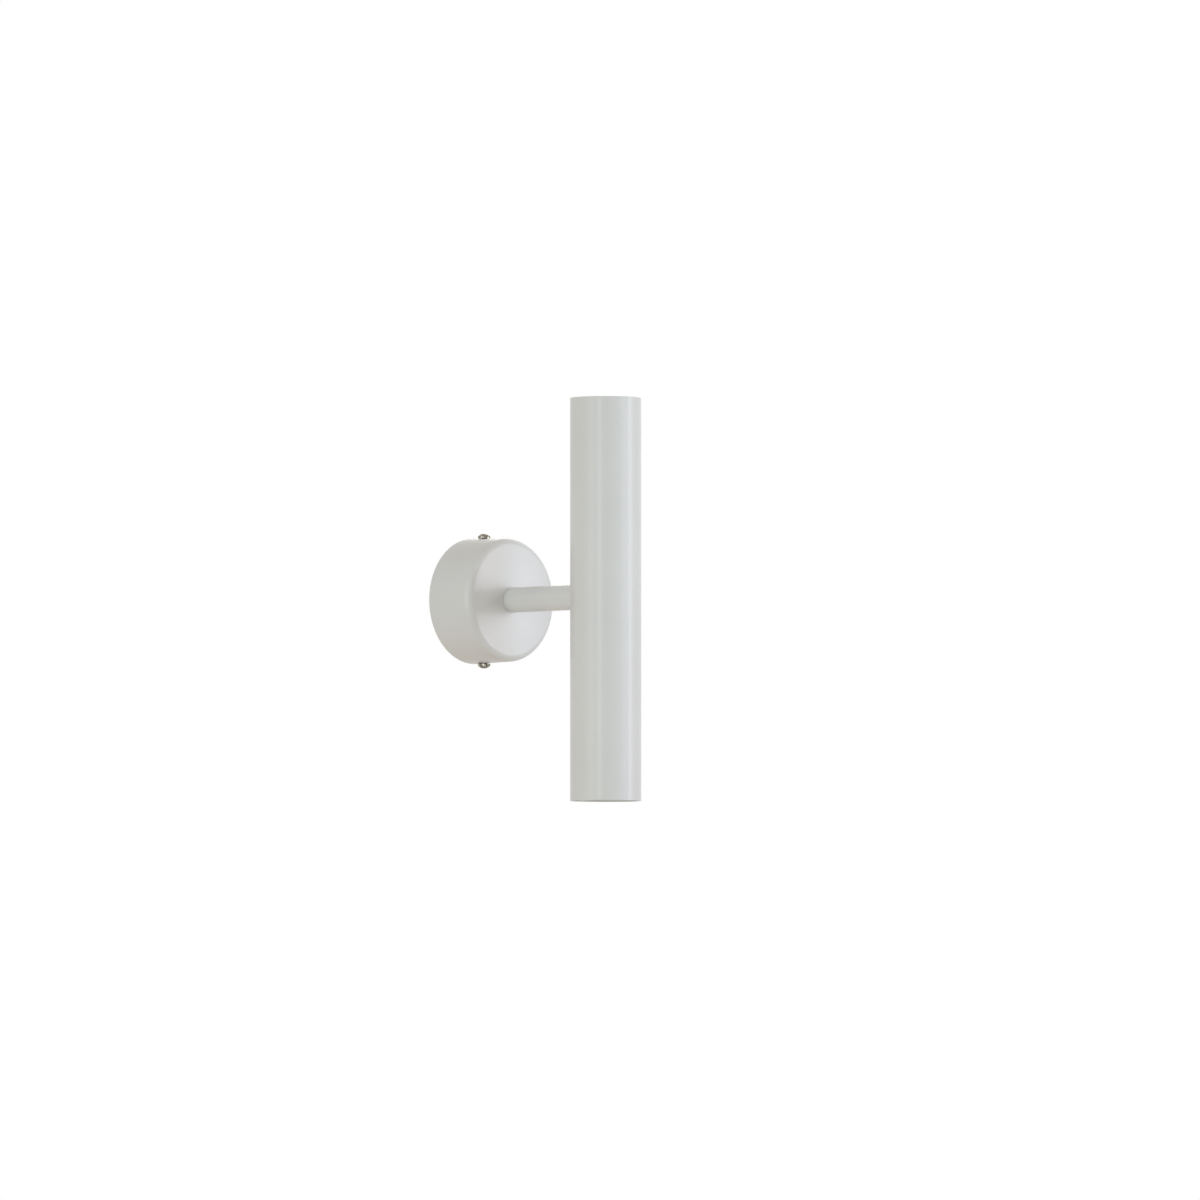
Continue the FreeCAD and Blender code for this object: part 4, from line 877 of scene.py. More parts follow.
@dataclass(frozen=True)
class Screw:
    """One kind of machine screw; its head's seat is at height 0 and the head points along +Z."""

    radius: float
    head_radius: float
    head_height: float
    head_round: float
    pitch: float
    drive: Drive
    thread_depth: float = 0.61
    neck: float = 0.4
    seat_round: float = 0.15
    shoulder: float = 0.97
    flat: float = 0.3
    flat_round: float = 0.5
    rim_height: float = 0.0
    rim_round: float = 0.4
    dome_steps: int = 9
    drive_width: float = 0.8
    drive_depth: float = 0.9
    slot_rise: float = 1.0
    cross_span: float = 4.6
    cross_depth: float = 1.7
    foot_span: float = 0.38
    foot_width: float = 0.7
    mouth_span: float = 1.12
    cutter_rise: float = 0.3
    core_point: float = 0.25
    core_columns: int = 24
    columns: int = 40
    round_steps: int = 7
    tip_bevel: float = 0.25
    sharp: float = 28.0

    def crown(self) -> list[Corner]:
        """Draws the top of the head, flat or domed from its rim.

        Returns:
            Its corners, from the edge to the middle.
        """
        top = self.head_height
        if not self.rim_height:
            return [
                (self.head_radius, top * self.shoulder, self.head_round),
                (self.head_radius * self.flat, top, self.flat_round),
                (0, top, 0),
            ]
        rise = top - self.rim_height
        ball = (self.head_radius**2 + rise**2) / (2 * rise)
        edge = math.asin(self.head_radius / ball)
        corners = [(self.head_radius, self.rim_height, self.rim_round)]
        for step in range(1, self.dome_steps + 1):
            turn = edge * (1 - step / self.dome_steps)
            corners.append((ball * math.sin(turn), top - ball * (1 - math.cos(turn)), 0))
        return corners

    def shape(self, length: float, place: Matrix) -> Shape:
        """The screw with its thread and drive.

        Args:
            length: from the seat to the tip.
            place: where it goes.

        Returns:
            The finished screw.
        """
        minor = self.radius - self.thread_depth * self.pitch
        tip = -length
        start = tip + self.tip_bevel
        end = -self.pitch * self.neck
        foot = [(0.0, tip), (minor - self.tip_bevel, tip), (minor, start)]
        under = [(minor, end, 0), (self.radius, -TINY, 0), (self.head_radius, 0, self.seat_round)]
        head = rounded([*under, *self.crown()], closed=False, steps=self.round_steps)
        body = joined(
            turned(foot, self.columns, closed=False),
            thread_skin(minor, self.radius, start, end, self.pitch, self.columns),
            turned(head, self.columns, closed=False),
        )
        return moved(carved(body, self.cutter()), place)

    def cutter(self) -> Shape:
        """Makes what cuts the drive into the head.

        Returns:
            A block for a slot, or two tapered arms and a pointed core for a cross.
        """
        top = self.head_height
        half = self.drive_width / 2
        if self.drive is Drive.SLOT:
            reach, over = self.head_radius + self.slot_rise, top + self.slot_rise
            return block((-reach, -half, top - self.drive_depth), (reach, half, over))
        reach = self.cross_span / 2
        mouth = reach * self.mouth_span
        deep, over = top - self.cross_depth, top + self.cutter_rise
        arms = []
        for turn in (QUARTER_TURN, math.pi):
            arm = block((-half, -mouth, deep), (half, mouth, over))
            for corner in arm.verts:
                if corner.co.z < top:
                    corner.co.x *= self.foot_width
                    corner.co.y *= self.foot_span / self.mouth_span
            arms.append(moved(arm, Matrix.Rotation(turn, 4, "Z")))
        point = [(0, deep - self.core_point), (reach / 2, over), (0, over)]
        core = turned(point, self.core_columns, closed=False)
        return carved(carved(*arms, Cut.ADDS), core, Cut.ADDS)

    def show(
        self, piece: Piece, length: float, places: Sequence[Matrix], finish: Finish
    ) -> None:
        """Puts screws of this kind into the scene.

        Args:
            piece: where they belong.
            length: from their seat to their tip.
            places: where each one goes.
            finish: their finish.
        """
        screws = [self.shape(length, place) for place in places]
        replace(piece, sharp=self.sharp).show(joined(*screws), finish)


M4_CROSS = Screw(2.0, 4.0, 3.1, 0.4, 0.7, Drive.CROSS, drive_width=1.0, rim_height=1.3)
M4_SLOT = Screw(2.0, 4.0, 3.1, 1.4, 0.7, Drive.SLOT, drive_width=1.0, drive_depth=1.1)
M3_SLOT = Screw(1.5, 2.8, 2.1, 0.9, 0.5, Drive.SLOT)
CLAMP_SLOT = Screw(1.5, 2.0, 1.8, 0.3, 0.5, Drive.SLOT)


# Canopy


@dataclass
class Canopy:
    """Cup on the wall with its two screws and the steel strip behind it."""

    wall: float = 1.2
    taper: float = 0.9
    front_round: float = 4.8
    rim_round: float = 0.25
    rod_hole: float = 5.15
    hole_round: float = 0.1
    screw_out: float = 9.5
    screw_hole: float = 2.3
    hole_reach: float = 5.0
    screw_length: float = 8.0
    columns: int = 224
    round_steps: int = 9

    def build(self) -> None:
        """Makes the cup and the cover screws."""
        self.make_cup()
        self.make_screws()

    def make_cup(self) -> None:
        """Drawn steel cup with two holes for the cover screws."""
        low, high = node_box("canopy_cover")
        radius, depth = node_radius("canopy_cover"), high.y - low.y
        front, inside = radius - self.taper, depth - self.wall
        corners = [
            (radius, 0, self.rim_round),
            (front, depth, self.front_round),
            (self.rod_hole, depth, self.hole_round),
            (self.rod_hole, inside, self.hole_round),
            (front - self.wall, inside, self.front_round - self.wall),
            (radius - self.wall, 0, self.rim_round),
        ]
        section = rounded(corners, steps=self.round_steps)
        cup = moved(turned(section, self.columns), Stance.FROM_WALL.at())
        reach = radius + self.hole_reach
        holes = rod(self.screw_hole, -reach, reach)
        shape = carved(cup, moved(holes, Matrix.Translation((0, -self.screw_out, 0))))
        piece = Piece("canopy_cup", "white_coat", ("canopy_cover",))
        piece.show(shape, Finish.COAT)

    def make_screws(self) -> None:
        """Screws above and below the cup."""
        radius = node_radius("canopy_cover")
        places = [end.stance.at(0, -self.screw_out, end.way * radius) for end in End]
        piece = Piece("cover_screw_pair", "nickel_screws", ("cover_screws",))
        M4_CROSS.show(piece, self.screw_length, places, Finish.NICKEL)

    def dress(self) -> None:
        """Finishes the strip."""
        Finish.ZINC.dress("wall_bracket")


# Arm and what holds it


@dataclass
class Arm:
    """Round arm with the hollow threaded rod inside it, its nuts, washers and bushes."""

    wall: float = 1.5
    base_round: float = 0.35
    bore_round: float = 0.15
    seat_gap: float = 0.05
    cope_reach: float = 30.0
    cope_columns: int = 512
    columns: int = 128
    rod_radius: float = 5.0
    rod_bore: float = 4.0
    rod_pitch: float = 1.0
    rod_depth: float = 0.55
    rod_bevel: float = 0.4
    rod_columns: int = 64

    def build(self) -> None:
        """Makes the coped arm and the threaded rod."""
        self.make_arm()
        self.make_rod()

    def make_arm(self) -> None:
        """Arm whose far end follows the light tube."""
        radius = node_radius("arm_tube")
        bore = radius - self.wall
        base = -node_box("arm_tube")[1].y
        axis_out = -node_axis("light_tube")
        corners = [
            (bore, base, self.bore_round),
            (radius, base, self.base_round),
            (radius, axis_out, 0),
            (bore, axis_out, 0),
        ]
        blank = moved(turned(rounded(corners), self.columns), Stance.FROM_WALL.at())
        cope = node_radius("light_tube") + self.seat_gap
        cutter = rod(cope, -self.cope_reach, self.cope_reach, self.cope_columns)
        shape = carved(blank, moved(cutter, Matrix.Translation((0, -axis_out, 0))))
        Piece("arm", "white_coat", ("arm_tube",)).show(shape, Finish.COAT)

    def make_rod(self) -> None:
        """Hollow rod with its fine thread."""
        low, high = node_box("threaded_nipple")
        start, end = -high.y, -low.y
        minor = self.rod_radius - self.rod_depth * self.rod_pitch
        first, last = start + self.rod_bevel, end - self.rod_bevel
        lining = [
            (minor, last),
            (self.rod_radius - self.rod_bevel, end),
            (self.rod_bore, end),
            (self.rod_bore, start),
            (self.rod_radius - self.rod_bevel, start),
            (minor, first),
        ]
        shape = joined(
            turned(lining, self.rod_columns, closed=False),
            thread_skin(minor, self.rod_radius, first, last, self.rod_pitch, self.rod_columns),
        )
        piece = Piece("hollow_rod", "zinc_steel", ("threaded_nipple",), sharp=25)
        piece.show(moved(shape, Stance.FROM_WALL.at()), Finish.ZINC)

    def dress(self) -> None:
        """Finishes the nuts, washers and bushes."""
        Finish.ZINC.dress("canopy_nut", "lock_washer", "saddle_washer", "tube_nut")
        Finish.NYLON.dress("arm_bush", "nipple_bushes")


# Light tube


@dataclass
class LightTube:
    """Upright tube, its two glare rings and the strip that carries the lampholders."""

    wall: float = 1.2
    rim_round: float = 0.35
    rod_hole: float = 5.15
    hole_reach: float = 60.0
    ring_inset: float = 1.5
    ring_wall: float = 1.0
    ring_lip: float = 1.5
    ring_throat: float = 15.9
    lip_round: float = 0.6
    throat_round: float = 0.45
    foot_round: float = 0.2
    ring_round: float = 0.3
    columns: int = 224

    def build(self) -> None:
        """Makes the tube and both rings."""
        self.make_tube()
        for end in End:
            self.make_ring(end)

    def make_tube(self) -> None:
        """Tube with softened rims and the hole for the hollow rod."""
        bottom, top = End.UPPER.levels("light_tube")
        radius = node_radius("light_tube")
        bore = radius - self.wall
        spots = ((bore, bottom), (radius, bottom), (radius, top), (bore, top))
        corners = [(*spot, self.rim_round) for spot in spots]
        hole = rod(self.rod_hole, -self.hole_reach, 0)
        hole = moved(hole, Matrix.Rotation(QUARTER_TURN, 4, "X"))
        tube = carved(turned(rounded(corners), self.columns), hole)
        piece = Piece("upright_tube", "white_coat", ("light_tube",))
        place = Stance.UPRIGHT.at(0, node_axis("light_tube"), 0)
        piece.show(moved(tube, place), Finish.COAT)

    def make_ring(self, end: End) -> None:
        """Glare ring with a rolled lip and a funnel.

        Args:
            end: the end of the tube that it sits in.
        """
        node = end.named("trim_ring")
        low, high = node_box(node)
        outer = node_radius(node)
        top = -self.ring_inset
        bottom = top - (high.z - low.z)
        skirt = outer - self.ring_wall
        lip = outer - self.ring_lip
        under = self.ring_throat + self.ring_wall
        meeting = bottom + (skirt - under) * (top - bottom) / (lip - self.ring_throat)
        corners = [
            (outer, bottom, self.foot_round),
            (outer, top, self.ring_round),
            (lip, top, self.lip_round),
            (self.ring_throat, bottom, self.throat_round),
            (under, bottom, self.ring_round),
            (skirt, meeting, self.ring_round),
            (skirt, bottom, self.foot_round),
        ]
        mouth = end.levels("light_tube")[1]
        place = end.stance.at(0, node_axis("light_tube"), mouth)
        piece = Piece(end.named("glare_ring"), "white_trim", (node,))
        piece.show(moved(turned(rounded(corners), self.columns), place), Finish.TRIM)

    def dress(self) -> None:
        """Finishes the strip inside the tube."""
        Finish.ZINC.dress("lampholder_frame")


# Lamps and their holders


@dataclass
class Lamp:
    """One lamp: lens, emitter and board made finer, shell, cap and pins finished."""

    end: End
    plate_depth: float = 2.2
    plate_round: float = 0.3
    back_round: float = 0.2
    border: float = 1.4
    border_foot: float = 2.0
    window_sink: float = 0.35
    hollow: tuple[Flat, ...] = ((0, 2.4), (1.6, 2.1), (2.7, 1.3), (3.0, 0))
    cone_end: float = 4.2
    cone_top: float = 11.5
    cone_bow: float = 0.9
    cone_steps: int = 5
    ridge_count: int = 3
    ridge_start: float = 12.0
    ridge_width: float = 0.95
    ridge_crest: float = 0.8
    ridge_depth: float = 0.45
    columns: int = 96
    emitter_height: float = 0.8
    board_round: float = 0.15
    pad_offset: float = 8.2
    bead: tuple[Flat, ...] = (
        (0, 0), (1.25, 0), (1.2, 0.08), (0.75, 0.22), (0.42, 0.5), (0.3, 0.78), (0, 0.8)
    )
    bead_columns: int = 28
    dam_out: float = 3.6
    dam_width: float = 0.7
    dam_round: float = 0.45
    dam_columns: int = 64
    fill: tuple[Flat, ...] = ((1.0, 0.3), (0.9, 0.22), (0.5, 0.12), (0, 0.1))

    def node(self, part: str) -> str:
        """Name of one of the lamp's nodes."""
        return self.end.named(f"lamp_{part}")

    @property
    def face(self) -> float:
        """Height of the cap's face, where the lamp's own frame starts."""
        return self.end.levels(self.node("cap"))[0]

    def build(self) -> None:
        """Makes the lens, board and emitter."""
        self.make_lens()
        self.make_board()

    def span(self, part: str) -> tuple[float, float, float]:
        """Measures a node of the lamp.

        Args:
            part: the node, without the lamp's own name.

        Returns:
            Its radius and its two heights over the cap's face.
        """
        inner, outer = self.end.levels(self.node(part))
        lift = self.end.way
        return node_radius(self.node(part)), lift * (inner - self.face), lift * (outer - self.face)

    def put(self, piece: Piece, shape: Shape, finish: Finish) -> None:
        """Puts one piece on the lamp's body, at the lamp's place."""
        place = self.end.stance.at(0, node_axis(self.node("cap")), self.face)
        replace(piece, body=self.end.lamp).show(moved(shape, place), finish)

    def make_lens(self) -> None:
        """Plate with prism ridges and a collimator with a hollow over the emitter."""
        radius, tip, front = self.span("lens")
        seat = front - self.plate_depth
        section = [(out, tip + rise) for out, rise in self.hollow]
        section.append((self.cone_end, tip))
        for step in range(1, self.cone_steps):
            share = step / self.cone_steps
            bow = self.cone_bow * math.sin(math.pi * share)
            reach = self.cone_end + (self.cone_top - self.cone_end) * share + bow
            section.append((reach, tip + (seat - tip) * share))
        section.append((self.cone_top, seat))
        for ridge in range(self.ridge_count):
            start = self.ridge_start + ridge * self.ridge_width
            crest = start + self.ridge_width * self.ridge_crest
            section += [(start, seat), (crest, seat + self.ridge_depth)]
        window = front - self.window_sink
        plate = [
            (self.ridge_start + self.ridge_count * self.ridge_width, seat, 0),
            (radius, seat, self.back_round),
            (radius, front, self.plate_round),
            (radius - self.border, front, self.plate_round),
            (radius - self.border_foot, window, self.plate_round),
            (0, window, 0),
        ]
        section += rounded(plate, closed=False)
        shape = turned(section, self.columns, closed=False)
        piece = Piece(self.end.named("lens"), "lens", (self.node("lens"),), sharp=22)
        self.put(piece, shape, Finish.LENS)

    def make_board(self) -> None:
        """Coated metal board with solder pads, a silicone dam and the yellow emitter."""
        radius, bottom, top = self.span("board")
        face = top - self.emitter_height
        rim = [(radius, bottom, self.board_round), (radius, face, self.board_round)]
        disc = rounded([(0, bottom, 0), *rim, (0, face, 0)], closed=False)
        shape = turned(disc, self.columns, closed=False)
        piece = Piece(self.end.named("board"), "lamp_board", (self.node("board"),))
        self.put(piece, shape, Finish.BOARD)
        beads = [self.solder(side * self.pad_offset, face) for side in (-1, 1)]
        piece = Piece(self.end.named("solder_joints"), "nickel_pins")
        self.put(piece, joined(*beads), Finish.TIN)
        dam_in = self.dam_out - self.dam_width
        soft = self.dam_width * self.dam_round
        foot = [(dam_in, face, 0), (self.dam_out, face, 0)]
        dam = rounded([*foot, (self.dam_out, top, soft), (dam_in, top, soft)])
        piece = Piece(self.end.named("emitter_dam"), "lamp_cap_plastic")
        self.put(piece, turned(dam, self.dam_columns), Finish.CAP)
        drop = [(0, face), (dam_in, face)]
        drop += [(dam_in * share, top - sag) for share, sag in self.fill]
        piece = Piece(self.end.named("emitter"), "lamp_board")
        self.put(piece, turned(drop, self.dam_columns, closed=False), Finish.PHOSPHOR)

    def solder(self, across: float, face: float) -> Shape:
        """Solder pad with its bead and the stub of a wire, across from the lamp's axis."""
        bead = turned([(out, face + up) for out, up in self.bead], self.bead_columns, closed=False)
        return moved(bead, Matrix.Translation((across, 0, 0)))

    def dress(self) -> None:
        """Finishes the shell, cap and pins."""
        Finish.SHELL.dress(self.node("body"))
        Finish.CAP.dress(self.node("cap"))
        Finish.NICKEL.dress(self.node("pins"))


@dataclass
class Lampholder:
    """Ceramic holder of one lamp, with its contacts and threaded fixing screws."""

    end: End
    screw_offset: float = 9.2
    screw_sink: float = 5.0

    def build(self) -> None:
        """Makes the fixing screws."""
        holder, screws = self.end.named("lampholder"), self.end.named("holder_screws")
        rear, front = self.end.levels(holder)
        seat = abs(front - rear) - self.screw_sink
        length = seat + abs(rear - self.end.levels(screws)[0])
        middle = self.end.stance.at(0, node_axis(holder), rear)
        spots = [Matrix.Translation((0, side * self.screw_offset, seat)) for side in (-1, 1)]
        piece = Piece(self.end.named("holder_screw_pair"), "zinc_steel", (screws,))
        M3_SLOT.show(piece, length, [middle @ spot for spot in spots], Finish.ZINC)

    def dress(self) -> None:
        """Finishes the ceramic and the contacts."""
        Finish.CERAMIC.dress(self.end.named("lampholder"))
        Finish.BRASS.dress(self.end.named("holder_contacts"))


# Wiring


@dataclass(frozen=True)
class Lead:
    """One insulated lead along a route of corners, given as right, up and out from the wall."""

    name: str
    node: str
    slot: str
    route: tuple[Point, ...]
    bends: tuple[float, ...]
    radius: float
    bare_ends: tuple[float, float]
    twist: float = 0.0
    stripes: int = 2
    strands: int = 10
    columns: int = 20
    sections: int = 10
    sharp: float = 50.0

    def controls(self) -> list[Vector]:
        """Sets a guard on both sides of each corner, which keeps the runs straight.

        Returns:
            The corners and guards in order.
        """
        spots = [Vector((right, -out, up)) for right, up, out in self.route]
        controls = [spots[0]]
        for index, bend in enumerate(self.bends, 1):
            corner = spots[index]
            back = spots[index - 1] - corner
            ahead = spots[index + 1] - corner
            guard = 2 * bend
            if guard < back.length - TINY:
                controls.append(corner + back.normalized() * guard)
            controls.append(corner)
            if guard < ahead.length / 2:
                controls.append(corner + ahead.normalized() * guard)
        controls.append(spots[-1])
        return controls

    def centreline(self) -> list[Vector]:
        """Draws the smooth line through the route.

        Returns:
            Its points.
        """
        curve = bpy.data.curves.new("lead", "CURVE")
        curve.dimensions = "3D"
        spline = curve.splines.new("NURBS")
        controls = self.controls()
        spline.points.add(len(controls) - 1)
        for point, spot in zip(spline.points, controls):
            point.co = (*spot, 1.0)
        spline.order_u = 3
        spline.use_endpoint_u = True
        spline.resolution_u = self.sections
        thing = bpy.data.objects.new("lead", curve)
        mesh = bpy.data.meshes.new_from_object(thing)
        line = [vertex.co.copy() for vertex in mesh.vertices]
        bpy.data.meshes.remove(mesh)
        bpy.data.objects.remove(thing)
        bpy.data.curves.remove(curve)
        return line

    def build(self, finish: Finish) -> None:
        """Sweeps the lead along its line and marks its stripes and bare ends.

        Args:
            finish: its finish.
        """
        line = self.centreline()
        shape = bmesh.new()
        stripe, bare, strand = (
            shape.verts.layers.float.new(name) for name in ("stripe", "bare", "strand")
        )
        whole = sum((b - a).length for a, b in zip(line, line[1:]))
        side = (line[1] - line[0]).orthogonal().normalized()
        rings = []
        done = 0.0
        for index, spot in enumerate(line):
            before = line[max(0, index - 1)]
            after = line[min(len(line) - 1, index + 1)]
            along = (after - before).normalized()
            side = (side - along * side.dot(along)).normalized()
            other = along.cross(side)
            if index:
                done += (spot - before).length
            naked = done < self.bare_ends[0] or whole - done < self.bare_ends[1]
            ring = []
            for column in range(self.columns):
                angle = FULL_TURN * column / self.columns
                reach = side * math.cos(angle) + other * math.sin(angle)
                vertex = shape.verts.new(spot + reach * self.radius)
                vertex[stripe] = math.cos(self.stripes * angle + self.twist * done)
                vertex[bare] = 1.0 if naked else 0.0
                # Strand crests and grooves; the grooves' darker colour is painted shade.
                vertex[strand] = math.cos(self.strands * angle)
                ring.append(vertex)
            rings.append(ring)
        for near, far in zip(rings, rings[1:]):
            for column in range(self.columns):
                after = (column + 1) % self.columns
                shape.faces.new((near[column], near[after], far[after], far[column]))
        shape.faces.new(rings[0])
        shape.faces.new(rings[-1])
        Piece(self.name, self.slot, (self.node,), self.sharp).show(shape, finish)


@dataclass
class Wiring:
    """Terminal block, earth connection and all leads."""

    pole_up: float = 1.4
    pole_down: float = -13.4
    clamp_offset: float = 4.0
    wire_out: float = 8.6
    wire_end: float = 1.0
    lead_radius: float = 0.9
    live_loop: float = 17.0
    neutral_loops: tuple[float, float] = (23.0, 20.0)
    live_level: float = 21.0
    neutral_level: float = 18.6
    bore_offset: float = 1.15
    rise_back: float = 3.5
    spread: float = 3.4
    spread_up: float = 26.0
    tail_offset: float = 5.0
    tail_start: float = 10.5
    tail_end: float = 4.0
    lead_bends: tuple[float, ...] = (4.4, 4.4, 5.4, 7.8, 8.0, 4.5)
    lead_bare: tuple[float, float] = (5.5, 4.5)
    earth_radius: float = 1.0
    earth_up: float = 12.0
    earth_loop: float = -26.0
    earth_grip: float = 3.5
    earth_lift: float = 1.9
    earth_bends: tuple[float, ...] = (4.4, 6.4)
    earth_bare: tuple[float, float] = (3.0, 3.0)
    earth_twist: float = 0.35

    def build(self) -> None:
        """Makes the leads and the threaded screws."""
        for end, neutral_loop in zip(End, self.neutral_loops):
            live = (self.live_loop, self.pole_up, self.live_level)
            self.make_lamp_lead(end, "live", live, 1, Finish.BROWN)
            neutral = (neutral_loop, self.pole_down, self.neutral_level)
            self.make_lamp_lead(end, "neutral", neutral, -1, Finish.BLUE)
        self.make_earth_lead()
        clamps = Piece("clamp_screws", "zinc_steel", ("terminal_screws",))
        offsets, poles = (-self.clamp_offset, self.clamp_offset), (self.pole_up, self.pole_down)
        spots = [(across, pole) for across in offsets for pole in poles]
        self.make_screws(clamps, CLAMP_SLOT, Finish.ZINC, spots)
        fixing = Piece("block_fixing_screw", "zinc_steel", ("terminal_fixing_screw",))
        self.make_screws(fixing, M3_SLOT, Finish.ZINC)
        earthing = Piece("earthing_screw", "brass", ("earth_screw",))
        self.make_screws(earthing, M4_SLOT, Finish.BRASS)

    def make_lamp_lead(
        self, end: End, kind: str, loop: Point, across: int, finish: Finish
    ) -> None:
        """Lead from its clamp, round a loop behind the canopy and through the rod to a lamp.

        Args:
            end: the lamp's end of the tube.
            kind: what it carries.
            loop: how far right it loops, the height of its pole and how far out it turns back.
            across: 1 where it keeps right in the rod and tube, -1 where it keeps left.
            finish: its finish.
        """
        way = end.way
        loop_x, pole, level = loop
        clamp_up = pole + way
        bore_x, bore_up = across * self.bore_offset, way * self.bore_offset
        rear = end.levels(end.named("lampholder"))[0]
        axis_out = -node_axis("light_tube")
        rise_out = axis_out - self.rise_back
        tail_x = across * self.tail_offset
        route = (
            (self.wire_end, clamp_up, self.wire_out),
            (loop_x, clamp_up, self.wire_out),
            (loop_x, clamp_up, level),
            (bore_x, bore_up, level),
            (bore_x, bore_up, rise_out),
            (across * self.spread, way * self.spread_up, rise_out),
            (tail_x, rear - way * self.tail_start, axis_out),
            (tail_x, rear + way * self.tail_end, axis_out),
        )
        name, node = end.named(f"{kind}_lead"), end.named("lamp_leads")
        held = (route, self.lead_bends, self.lead_radius, self.lead_bare)
        Lead(name, node, "lead_insulation", *held).build(finish)

    def make_earth_lead(self) -> None:
        """Striped lead from the tag on the hollow rod to the lug on the strip."""
        tag, lug = node_box("earth_tag")[0], node_box("earth_lug")
        tag_out = -tag.y - self.earth_lift
        lug_out = -lug[1].y + self.earth_lift
        route = (
            (tag.x + self.earth_grip, 0.0, tag_out),
            (self.earth_loop, 0.0, tag_out),
            (self.earth_loop, self.earth_up, lug_out),
            (lug[0].x + self.earth_grip, self.earth_up, lug_out),
        )
        held = (route, self.earth_bends, self.earth_radius, self.earth_bare, self.earth_twist)
        lead = Lead("earthing_lead", "earth_lead", "earth_insulation", *held)
        lead.build(Finish.EARTH)

    @staticmethod
    def make_screws(
        piece: Piece, kind: Screw, finish: Finish, spots: Sequence[Flat] | None = None
    ) -> None:
        """Screws that stand out from the wall as far as their node does.

        Args:
            piece: where they belong.
            kind: the kind of screw.
            finish: their finish.
            spots: how far right and up each one is; the node's middle where none is given.
        """
        low, high = node_box(piece.stands_for[0])
        seat = -low.y - kind.head_height
        spots = spots or [((low.x + high.x) / 2, (low.z + high.z) / 2)]
        places = [Stance.FROM_WALL.at(right, -seat, up) for right, up in spots]
        kind.show(piece, seat + high.y, places, finish)

    def dress(self) -> None:
        """Finishes the block, clamps and earth pieces."""
        Finish.POLYAMIDE.dress("terminal_block")
        Finish.BRASS.dress("terminal_clamps", "earth_washer")
        Finish.TIN.dress("earth_lug", "earth_tag")


# Studio


@dataclass(frozen=True)
class Softbox:
    """One large soft lamp, placed round the camera's own direction, in metres and watts."""

    name: str
    side: float
    rise: float
    distance: float
    width: float
    height: float
    power: float
    colour: Colour


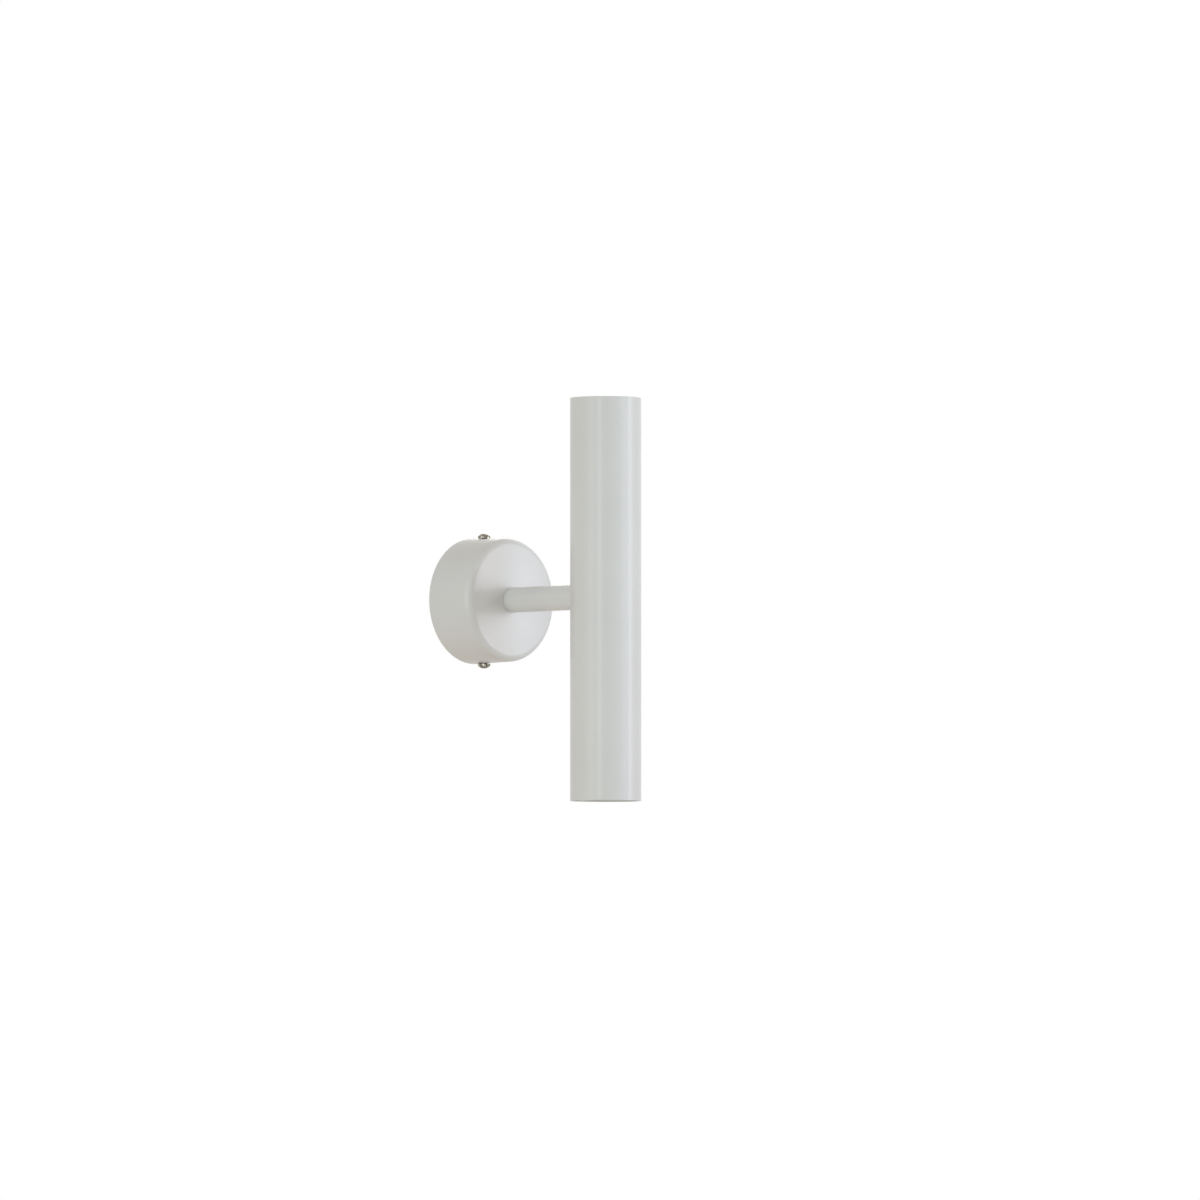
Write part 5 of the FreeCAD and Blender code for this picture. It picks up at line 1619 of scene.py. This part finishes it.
@dataclass
class Studio:
    """Floor, white surroundings, soft lamps and the camera of the photograph."""

    azimuth: float = -45.3
    elevation: float = -2.3
    distance: float = 8.7
    scale: float = 0.632
    axis_pixel: Flat = (605.7, 596.2)
    sensor: float = 36.0
    clip_end: float = 100.0
    floor_level: float = -0.6
    floor_radius: float = 9.0
    floor_middle: float = 1.5
    floor_columns: int = 96
    floor_grain: float = 0.02
    floor_fade: Flat = (0.7, 1.9)
    floor_glow: float = 0.62
    floor_roughness: float = 0.8
    floor_tones: tuple[Colour, Colour] = ((0.80, 0.80, 0.79), (0.84, 0.84, 0.83))
    ambient: float = 0.45
    ambient_colour: Colour = (1.0, 0.90, 0.80)

    lamps: ClassVar[tuple[Softbox, ...]] = (
        Softbox("key_right", 86, 5, 2.6, 0.7, 2.0, 23.6, (0.87, 0.90, 1.0)),
        Softbox("front_right", 62, 5, 2.6, 0.8, 2.0, 11.4, (0.59, 0.80, 1.0)),
        Softbox("front_left", -20, 5, 2.6, 0.45, 2.0, 14.4, (0.75, 0.93, 1.0)),
        Softbox("fill_left", -50, 5, 2.6, 0.8, 2.0, 9.8, (0.79, 0.92, 1.0)),
        Softbox("back_light", 165, 25, 3.0, 2.0, 1.6, 14.3, (1.0, 0.96, 0.89)),
        Softbox("bounce_below", -60, -65, 2.6, 1.6, 1.6, 5.4, (1.0, 0.84, 0.60)),
    )

    @property
    def target(self) -> Vector:
        """Middle of the light tube, in metres."""
        return Vector((0, node_axis("light_tube"), 0)) * MM

    def build(self) -> None:
        """Sets up everything that isn't the object."""
        self.make_world()
        self.make_floor()
        for lamp in self.lamps:
            self.make_lamp(lamp)
        self.make_camera()

    def direction(self, side: float, rise: float) -> Vector:
        """Points from the object to a place round it.

        Args:
            side: degrees to the right of the camera.
            rise: degrees above the level.

        Returns:
            The unit vector.
        """
        turn, lift = math.radians(self.azimuth + side), math.radians(rise)
        flat = math.cos(lift)
        return Vector((math.sin(turn) * flat, -math.cos(turn) * flat, math.sin(lift)))

    @staticmethod
    def aim(thing: bpy.types.Object, way: Vector) -> None:
        """Turns a lamp or camera that lies along way towards the object."""
        thing.rotation_mode = "QUATERNION"
        thing.rotation_quaternion = (-way).to_track_quat("-Z", "Y")

    @staticmethod
    def seen(surface: Surface) -> Field:
        """Tells the camera's looks, straight, by a reflection or through glass, from light.

        Args:
            surface: the surface that asks.

        Returns:
            1 for a look, else 0.
        """
        camera, glossy, clear = (
            surface.add("ShaderNodeLightPath", output=f"Is {ray} Ray")
            for ray in ("Camera", "Glossy", "Transmission")
        )
        return camera.larger(glossy).larger(clear)

    def make_world(self) -> None:
        """White to the camera and in reflections, plain soft light to everything else."""
        world = bpy.data.worlds.new("studio")
        bpy.context.scene.world = world
        surface = Surface(world, "ShaderNodeOutputWorld")
        shown = self.seen(surface)
        soft, white = (
            surface.add("ShaderNodeBackground", {}, {"Color": colour, "Strength": strength})
            for colour, strength in ((self.ambient_colour, self.ambient), (WHITE, 1.0))
        )
        surface.close(surface.add("ShaderNodeMixShader", {}, {0: shown, 1: soft, 2: white}))

    def make_floor(self) -> None:
        """Pale floor that fades to white far from the object and is clear from below."""
        section = [(self.floor_radius, 0), (self.floor_middle, 0), (0, 0)]
        mesh = mesh_of(turned(section, self.floor_columns, closed=False), "floor")
        mesh.materials.append(self.floor_finish())
        floor = placed("floor", mesh)
        floor.location = (0, 0, self.floor_level)

    def floor_finish(self) -> Material:
        """Mixes the floor, which takes the object's shadow and shows to the camera alone.

        Returns:
            Its material.
        """
        surface = new_surface("studio_floor")
        place = surface.place()
        reach = surface.add("ShaderNodeVectorMath", {"operation": "LENGTH"}, {0: place}, "Value")
        grain = surface.noise(self.floor_grain, 3.0)
        paint = {"Base Color": surface.blend(grain, *self.floor_tones)}
        paint["Roughness"] = self.floor_roughness
        matt = surface.add("ShaderNodeBsdfPrincipled", {}, paint)
        white = surface.add("ShaderNodeEmission", {}, {"Color": WHITE, "Strength": 1.0})
        glow = reach.between(*self.floor_fade).larger(self.floor_glow)
        pale_floor = surface.add("ShaderNodeMixShader", {}, {0: glow, 1: matt, 2: white})
        clear = surface.add("ShaderNodeBsdfTransparent")
        below = surface.add("ShaderNodeNewGeometry", output="Backfacing")
        hidden = below.larger(1.0 - self.seen(surface))
        shader = surface.add("ShaderNodeMixShader", {}, {0: hidden, 1: pale_floor, 2: clear})
        return surface.close(shader)

    def make_lamp(self, lamp: Softbox) -> None:
        """One soft lamp that faces the object and doesn't show itself.

        Args:
            lamp: its place, size, power and colour.
        """
        light = bpy.data.lights.new(lamp.name, "AREA")
        light.shape = "RECTANGLE"
        light.size, light.size_y = lamp.width, lamp.height
        light.energy = lamp.power
        light.color = lamp.colour
        thing = placed(lamp.name, light)
        way = self.direction(lamp.side, lamp.rise)
        thing.location = self.target + way * lamp.distance
        thing.visible_camera = False
        self.aim(thing, way)

    def make_camera(self) -> None:
        """Long lens at the photograph's angle; the tube's axis falls on its own pixel."""
        camera = bpy.data.cameras.new("photo_camera")
        pixel = self.scale * MM
        camera.sensor_width = self.sensor
        camera.lens = self.sensor * self.distance / (PHOTO_PIXELS * pixel)
        camera.clip_end = self.clip_end
        thing = placed("photo_camera", camera)
        back = self.direction(0, self.elevation)
        self.aim(thing, back)
        right = thing.rotation_quaternion @ Vector((1, 0, 0))
        up = thing.rotation_quaternion @ Vector((0, 1, 0))
        middle = PHOTO_PIXELS / 2
        aside = (self.axis_pixel[0] - middle) * pixel
        above = (middle - self.axis_pixel[1]) * pixel
        thing.location = self.target - right * aside - up * above + back * self.distance
        bpy.context.scene.camera = thing


def main() -> None:
    """Builds the studio and every sub-assembly, in order."""
    logging.basicConfig(level=logging.INFO, format="%(message)s")
    bpy.context.scene.view_settings.view_transform = "Standard"
    Studio().build()
    ends = [*(Lampholder(end) for end in End), *(Lamp(end) for end in End)]
    assemblies = [Canopy(), Arm(), LightTube(), *ends, Wiring()]
    for assembly in assemblies:
        assembly.build()
        assembly.dress()
        LOG.info("%s done", type(assembly).__name__)


if __name__ == "__main__":
    main()
